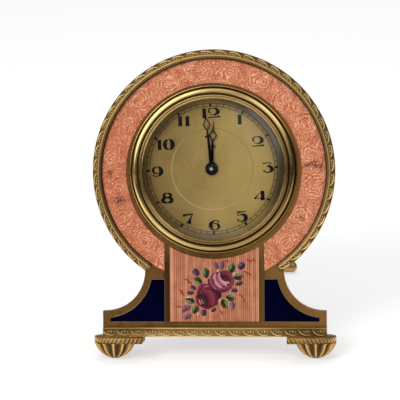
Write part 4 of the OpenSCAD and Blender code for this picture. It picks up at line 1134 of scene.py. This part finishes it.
@dataclass
class HandPivot:
    """Polished round end of the centre arbor, in the middle of the collet."""

    radius: float = 0.5
    flat: float = 0.6
    top: float = 1.16

    def build(self) -> None:
        """Builds the end."""
        bm = bmesh.new()
        place = shift(*MOVEMENT_AT, self.top) @ Matrix.Diagonal((1.0, 1.0, self.flat, 1.0))
        bmesh.ops.create_uvsphere(bm, u_segments=24, v_segments=12, radius=self.radius, matrix=place)
        make_piece("hand_pivot", bm, "pivot_steel", body="centre")


@dataclass
class Daub:
    """One touch of the brush: a tapered, bent shape between two points."""

    path: Sequence[Point]
    wide: float
    left: Colour
    right: Colour
    level: int = 0
    skew: float = 1.0
    point: float = 0.5

    def add(self, bm: BMesh, height: float) -> None:
        """Adds the touch to a mesh at a height."""
        layer = bm.loops.layers.float_color.get("paint") or bm.loops.layers.float_color.new("paint")
        made = bmesh.ops.create_grid(bm, x_segments=12, y_segments=4, size=1.0)["verts"]
        p0, p1, p2 = (Vector(p) for p in self.path)
        across = {}
        for v in made:
            t, side = (v.co.x + 1) / 2, v.co.y
            across[v] = (side + 1) / 2
            spot = p0 * (1 - t) ** 2 + p1 * (2 * t * (1 - t)) + p2 * t**2
            way = (p1 - p0) * (1 - t) + (p2 - p1) * t
            normal = Vector((-way.y, way.x)).normalized()
            k = t**self.skew
            spot += normal * side * self.wide * max(0.0, 4 * k * (1 - k)) ** self.point
            v.co = (spot.x, spot.y, height)
        for face in {f for v in made for f in v.link_faces}:
            for loop in face.loops:
                share = across[loop.vert]
                loop[layer] = (*(a * share + b * (1 - share) for a, b in zip(self.left, self.right)), 1.0)


def curl(r: float, first: float, last: float) -> tuple[float, ...]:
    """Start, bend and end of a touch that follows part of a circle round a rose's middle."""
    mid = polar(r / math.cos(math.radians(last - first) / 2), (first + last) / 2)
    return *polar(r, first), *mid, *polar(r, last)


def stalk(x: float, y: float, direction: float, length: float) -> Callable[..., Point]:
    """Way to place points about a line.

    Args:
        x: middle of the line.
        y: middle of the line.
        direction: where the line points, in degrees.
        length: its length.

    Returns:
        A function of halves of the length along the line and of millimetres aside of it.
    """
    dx, dy = polar(length / 2, direction)
    nx, ny = polar(1.0, direction + 90)
    return lambda along, aside=0.0: (x + dx * along + nx * aside, y + dy * along + ny * aside)


LEAF_GREEN = tone(98, 102, 50)
LEAF_SHADE = tone(52, 58, 22)
LEAF_LIGHT = tone(122, 138, 98)
LEAF_DARK = tone(14, 22, 8)
VIOLET = tone(80, 54, 92)
VIOLET_DARK = tone(34, 20, 48)
WINE = tone(60, 18, 30)
WINE_DARK = tone(34, 8, 18)
GREY_VIOLET = tone(134, 94, 98)
GREY_DARK = tone(84, 54, 66)
PALE = tone(214, 176, 150)
TENDRIL = tone(146, 56, 34)

# Middle, direction, length and half width of each leaf and bud
LEAVES = (
    (-2.52, 25.2, 95, 3.3, 1.1), (-4.8, 22.8, 155, 3.0, 1.0), (5.1, 26.6, 75, 3.2, 1.15),
    (7.0, 24.1, 15, 3.0, 1.05), (4.7, 18.0, -10, 2.8, 1.0), (3.0, 16.1, -62, 3.3, 1.1),
    (-7.2, 17.1, 155, 3.1, 1.1), (-5.7, 14.5, 70, 2.8, 0.95),
)
VIOLET_BUDS = (
    (-5.35, 25.3, 125, 2.3, 0.9), (7.95, 27.2, 50, 2.4, 0.95), (-6.2, 20.8, 150, 1.9, 0.6),
    (-7.0, 19.4, 0, 2.1, 0.62), (7.25, 22.1, 20, 2.3, 0.62), (5.95, 20.1, 0, 1.8, 0.62),
    (-3.15, 13.5, 84, 2.0, 0.8), (-0.3, 14.3, 30, 1.7, 0.55),
)
GREY_BUDS = (
    (0.5, 27.1, 110, 2.4, 0.8), (2.2, 27.4, 80, 2.5, 0.8), (5.3, 15.6, 95, 2.6, 0.75),
    (-8.8, 14.6, 60, 2.6, 0.75), (-7.9, 14.9, 45, 2.3, 0.7), (-7.9, 12.4, 35, 2.4, 0.8),
)
# Start, bend and end of each fine line
STEMS = (
    (0.5, 25.0, 1.2, 25.8, 1.1, 26.4), (-0.2, 17.0, 1.0, 16.0, 1.9, 17.6),
    (-8.6, 17.9, -7.6, 18.3, -6.6, 17.8), (5.4, 24.6, 5.9, 24.9, 6.2, 25.4),
    (-4.5, 13.8, -4.9, 12.8, -5.2, 12.6),
)
TENDRILS = (
    (9.2, 28.9, 10.2, 29.3, 10.6, 28.2), (10.4, 28.3, 11.4, 29.6, 12.3, 28.4),
    (8.4, 25.3, 9.6, 26.0, 9.6, 24.6), (9.5, 24.8, 10.6, 25.6, 10.8, 24.0),
    (-8.9, 23.2, -7.8, 23.6, -7.4, 22.2), (-7.9, 22.0, -7.0, 23.2, -6.7, 21.6),
    (-10.7, 20.2, -9.6, 20.6, -9.4, 18.9), (-10.2, 19.2, -9.2, 19.6, -8.9, 18.3),
    (6.9, 18.6, 8.2, 18.9, 8.4, 17.4), (8.0, 16.9, 8.8, 16.4, 8.9, 17.8),
    (-11.3, 15.0, -10.2, 15.6, -9.5, 15.0), (1.4, 14.2, 2.6, 13.6, 2.0, 12.6),
    (2.9, 28.2, 3.6, 29.2, 4.4, 28.4),
)


@dataclass
class RoseSpray:
    """Two painted roses with leaves, buds and fine tendrils on the centre panel."""

    floor: float = -0.042
    layer: float = 0.003
    daubs: list[Daub] = field(default_factory=list)

    def leaf(self, x: float, y: float, direction: float, length: float, wide: float) -> None:
        """One leaf, green with a dark heart and rim and a light touch, over a pale one."""
        at = stalk(x, y, direction, length)
        spine = at(-1), at(0), at(1)
        rim = at(-0.5, -0.72), at(0.3, -1.56), at(0.98)
        heart = at(-0.95), at(-0.1, -0.42), at(0.55)
        light = at(-0.3, 0.18), at(0, 0.54), at(0.6, 0.15)
        self.daubs += [
            Daub(spine, wide * 1.08, PALE, PALE, 0, 0.85, 0.6),
            Daub(spine, wide, LEAF_GREEN, LEAF_SHADE, 1, 0.85, 0.7),
            Daub(rim, 0.13, LEAF_DARK, LEAF_DARK, 2),
            Daub(heart, wide * 0.42, LEAF_DARK, LEAF_DARK, 2, 0.9, 0.7),
            Daub(light, wide * 0.26, LEAF_LIGHT, LEAF_GREEN, 3, 1.0, 0.7),
        ]

    def bud(
        self, x: float, y: float, direction: float, length: float, wide: float, light: Colour, dark: Colour
    ) -> None:
        """One bud of two petals with a gleam."""
        at = stalk(x, y, direction, length)
        for level, bend, colour in ((1, -0.64, dark), (2, 0.64, light)):
            petal = at(-1), at(0, bend * wide), at(1)
            self.daubs.append(Daub(petal, wide * 0.72, colour, dark, level, 1.25))
        gleam = at(-0.4, 0.4 * wide), at(0, 0.6 * wide), at(0.6)
        self.daubs.append(Daub(gleam, wide * 0.2, GREY_VIOLET, light, 3))

    def rose(self, at: Point, size: float, level: int, touches: Iterable[Sequence[object]]) -> None:
        """One rose, laid touch by touch.

        Args:
            at: its middle.
            size: its radius.
            level: the level of its first touch.
            touches: start, bend, end and half width in hundredths of the radius, and two colours.
        """
        unit = size / 100
        for i, (*path, wide, left, right) in enumerate(touches):
            placed = [(at[0] + x * unit, at[1] + y * unit) for x, y in zip(path[::2], path[1::2])]
            self.daubs.append(Daub(placed, wide * unit, left, right, level + i))

    def crimson_rose(self) -> None:
        """The lower rose, whose dark heart looks down to the left."""
        deep, dark, mid = tone(40, 5, 15), tone(68, 8, 24), tone(100, 20, 40)
        rose, pale = tone(128, 44, 68), tone(212, 146, 150)
        self.rose((-2.1, 18.0), 3.4, 4, (
            (-98, 0, 0, 0, 98, 0, 96, dark, deep),
            (*curl(88, 50, 175), 12, mid, rose),
            (*curl(76, 45, 170), 4, deep, deep),
            (*curl(66, 40, 165), 10, mid, rose),
            (*curl(56, 45, 160), 3.5, deep, deep),
            (*curl(96, 165, 235), 6, rose, mid),
            (*curl(88, 235, 305), 13, dark, mid),
            (-20, 78, 83, 60, 78, -72, 26, mid, dark),
            (-40, 52, 50, 45, 42, -80, 30, rose, mid),
            (-55, 30, 20, 30, 12, -86, 20, mid, dark),
            (45, 80, 100, 50, 98, -15, 14, deep, deep),
            (-80, 5, -20, 30, 2, -68, 26, deep, deep),
            (-82, 0, -86, -40, -50, -74, 10, rose, mid),
            (-70, -14, -72, -40, -48, -62, 6, pale, rose),
            (-52, -12, -50, -36, -30, -60, 5, pale, mid),
            (-34, -10, -30, -34, -14, -56, 4.5, rose, dark),
            (*curl(97, 60, 115), 3, pale, rose),
        ))

    def pink_rose(self) -> None:
        """The upper rose, whose heart looks up to the right."""
        deep, dark, mid = tone(48, 6, 16), tone(76, 12, 28), tone(104, 26, 44)
        light, pale = tone(136, 58, 78), tone(204, 148, 160)
        self.rose((1.8, 22.65), 3.35, 24, (
            (-104, 0, 0, 0, 104, 0, 88, mid, dark),
            (-104, 28, -104, -66, 5, -84, 13, deep, dark),
            (-98, 10, -84, -50, -20, -74, 3.5, pale, light),
            (-42, -60, 35, -90, 102, -32, 20, light, dark),
            (-10, -84, 50, -102, 98, -55, 7, dark, dark),
            (20, -98, 70, -98, 108, -46, 3, pale, light),
            (102, 42, 116, -10, 90, -42, 12, mid, light),
            (-68, 62, -100, -10, -25, -58, 19, mid, light),
            (-42, 76, -62, -2, 20, -56, 20, light, pale),
            (-10, 84, -30, 0, 62, -40, 20, pale, light),
            (0, 60, 10, 0, 85, -10, 19, light, pale),
            (-30, 56, -42, 20, -20, -10, 3.5, mid, mid),
            (-55, 30, -62, -2, -40, -34, 3.5, mid, dark),
            (8, 84, 85, 95, 100, 25, 15, mid, light),
            (2, 74, 20, 10, 84, 18, 20, deep, dark),
            (16, 56, 40, 44, 66, 26, 17, deep, deep),
            (20, 96, 20, 80, 16, 64, 4.5, dark, dark),
            (44, 90, 45, 75, 38, 58, 4.5, dark, dark),
            (68, 78, 64, 62, 54, 46, 4.5, dark, dark),
            (86, 56, 80, 44, 68, 36, 4, dark, dark),
            (32, 90, 32, 72, 27, 58, 4.5, light, mid),
            (56, 82, 54, 66, 46, 52, 4.5, light, mid),
            (46, 36, 56, 30, 70, 20, 4, mid, dark),
        ))

    def build(self) -> None:
        """Builds the spray."""
        for row in LEAVES:
            self.leaf(*row)
        for row in VIOLET_BUDS:
            self.bud(*row, VIOLET, VIOLET_DARK)
        for row in GREY_BUDS:
            self.bud(*row, GREY_VIOLET, GREY_DARK)
        for rows, wide, colour, level in ((STEMS, 0.16, PALE, 3), (TENDRILS, 0.24, TENDRIL, 1)):
            self.daubs += [Daub((r[:2], r[2:4], r[4:]), wide, colour, colour, level) for r in rows]
        self.daubs.append(Daub(((-1.2, 21.0), (1.8, 20.4), (1.6, 17.6)), 0.75, WINE, WINE_DARK, 3))
        self.crimson_rose()
        self.pink_rose()
        bm = bmesh.new()
        for item in sorted(self.daubs, key=lambda d: d.level):
            item.add(bm, self.floor + item.level * self.layer)
        bmesh.ops.recalc_face_normals(bm, faces=bm.faces)
        make_piece("rose_spray", bm, "china_paint", tidy=False)


NODE_FINISH = {
    "front_plate": "aged_gilt",
    "ring_enamel": "ring_enamel",
    "centre_enamel": "panel_enamel",
    "left_enamel": "cobalt_enamel",
    "right_enamel": "cobalt_enamel",
    "glass": "glass",
    "dial": "dial_gilding",
}
SLOT_FINISH = {
    "gilt": "drum_gilt",
    "polished_gilt": "bright_gilt",
    "brass": "movement_brass",
    "steel": "polished_steel",
    "blued_steel": "blued_steel",
}


@dataclass
class Dressing:
    """Finishes of the construction's own nodes, by node or else by material slot."""

    def build(self) -> None:
        """Gives every carried-over node its finish."""
        slots = {s["node"]: s["material_slot"] for s in frame["record"]["subparts"]}
        for name, node in frame["nodes"].items():
            finish = NODE_FINISH.get(name) or SLOT_FINISH[slots[name]]
            node.data.materials.clear()
            node.data.materials.append(FINISHES[finish])
        log.info("dressed %d nodes", len(frame["nodes"]))


@dataclass
class Studio:
    """Pale floor, soft light and the camera at the photograph's angle."""

    azimuth: float = 4.12
    elevation: float = 20.04
    roll: float = -1.6
    distance: float = 0.7
    target: tuple[float, float, float] = (-0.00499, -0.008, 0.04042)
    view_angle: float = 9.741
    aim: tuple[float, float, float] = (0.0, 0.0, 0.045)
    floor_half: float = 3.0

    def camera(self) -> None:
        """Makes the camera."""
        az, el, roll = (math.radians(a) for a in (self.azimuth, self.elevation, self.roll))
        back = Vector((math.sin(az) * math.cos(el), -math.cos(az) * math.cos(el), math.sin(el)))
        right = (-back).cross(Vector((0, 0, 1))).normalized()
        up = right.cross(-back)
        x = right * math.cos(roll) + up * math.sin(roll)
        y = up * math.cos(roll) - right * math.sin(roll)
        data = bpy.data.cameras.new("camera")
        data.lens = data.sensor_width / 2 / math.tan(math.radians(self.view_angle) / 2)
        data.clip_start, data.clip_end = 0.01, 20.0
        camera = put("camera", data)
        turn = Matrix((x, y, back)).transposed().to_4x4()
        camera.matrix_world = Matrix.Translation(Vector(self.target) + back * self.distance) @ turn
        bpy.context.scene.camera = camera

    def lamp(self, name: str, place: Sequence[float], size: float, power: float) -> None:
        """Soft square lamp that looks at the clock and doesn't show in its mirrors."""
        data = bpy.data.lights.new(name, "AREA")
        data.size = size
        data.energy = power
        lamp = put(name, data)
        lamp.location = place
        lamp.visible_glossy = False
        lamp.rotation_euler = (Vector(self.aim) - Vector(place)).to_track_quat("-Z", "Y").to_euler()

    def floor(self) -> None:
        """Makes the floor, which stays white to the camera and keeps the shadow."""
        bm = bmesh.new()
        bmesh.ops.create_grid(bm, x_segments=1, y_segments=1, size=self.floor_half)
        mesh = bpy.data.meshes.new("floor")
        bm.to_mesh(mesh)
        bm.free()
        p = Paint("floor")
        here = p.node("TexCoord", output="Object")
        pale = p.mix(p.noise(here, 4.0, 2.0), (0.8, 0.8, 0.8), (0.82, 0.82, 0.82))
        matt = p.node("BsdfDiffuse", {"Color": pale})
        glow = p.node("Emission", {"Color": (1.0, 1.0, 1.0, 1.0), "Strength": 1.0})
        share = (p.ray("Camera") + p.ray("Glossy") + p.ray("Transmission")).clamped() * 0.55
        mesh.materials.append(p.done(p.node("MixShader", {0: share, 1: matt, 2: glow})))
        floor = put("floor", mesh)

    def world(self) -> None:
        """White room for the camera, and a dim one with bright windows in the clock's mirrors."""
        p = Paint("room", world=True)
        seen, gloss, through = (p.ray(kind) for kind in ("Camera", "Glossy", "Transmission"))
        x, y, z = p.split(p.node("TexCoord", output="Generated"))
        mirror = 0.05 + z.rise(0.4, 0.95) * 0.3 + y.rise(-0.3, 0.7) * 0.2
        for to_x, to_y, to_z, edge, full, power in (
            (-0.6, -0.45, 0.66, 0.84, 0.94, 2.2),
            (0.29, -0.79, 0.545, 0.95, 0.99, 0.8),
            (0.565, -0.38, 0.732, 0.93, 0.975, 1.2),
            (-0.065, -0.28, 0.956, 0.93, 0.98, 0.5),
        ):
            mirror = mirror + (x * to_x + y * to_y + z * to_z).rise(edge, full) * power
        shown = (seen + through * (1.0 - seen)).clamped()
        soft = 0.62 * (1.0 - gloss) + mirror * gloss
        level = shown + soft * (1.0 - shown)
        back = p.node("Background", {"Color": (1.0, 1.0, 1.0, 1.0), "Strength": level})
        bpy.context.scene.world = p.done(back, "OutputWorld")

    def build(self) -> None:
        """Sets up the whole stage."""
        self.camera()
        self.floor()
        self.world()
        self.lamp("key", (-0.32, -0.42, 0.5), 0.3, 3.4)
        self.lamp("fill", (0.45, -0.35, 0.3), 0.4, 1.0)
        self.lamp("top", (0.0, 0.15, 0.6), 0.5, 1.6)
        bpy.context.scene.view_settings.view_transform = "Standard"


def main() -> None:
    """Builds and dresses the clock, and sets the stage."""
    logging.basicConfig(level=logging.INFO)
    for part in (
        Dressing(), Rim(), BaseMoulding(), Foot(-1), Foot(1), CellEdges(), Bezel(), DialPrint(),
        HandPivot(), RoseSpray(), Studio(),
    ):
        part.build()
        log.info("built %s", type(part).__name__)


if __name__ == "__main__":
    main()
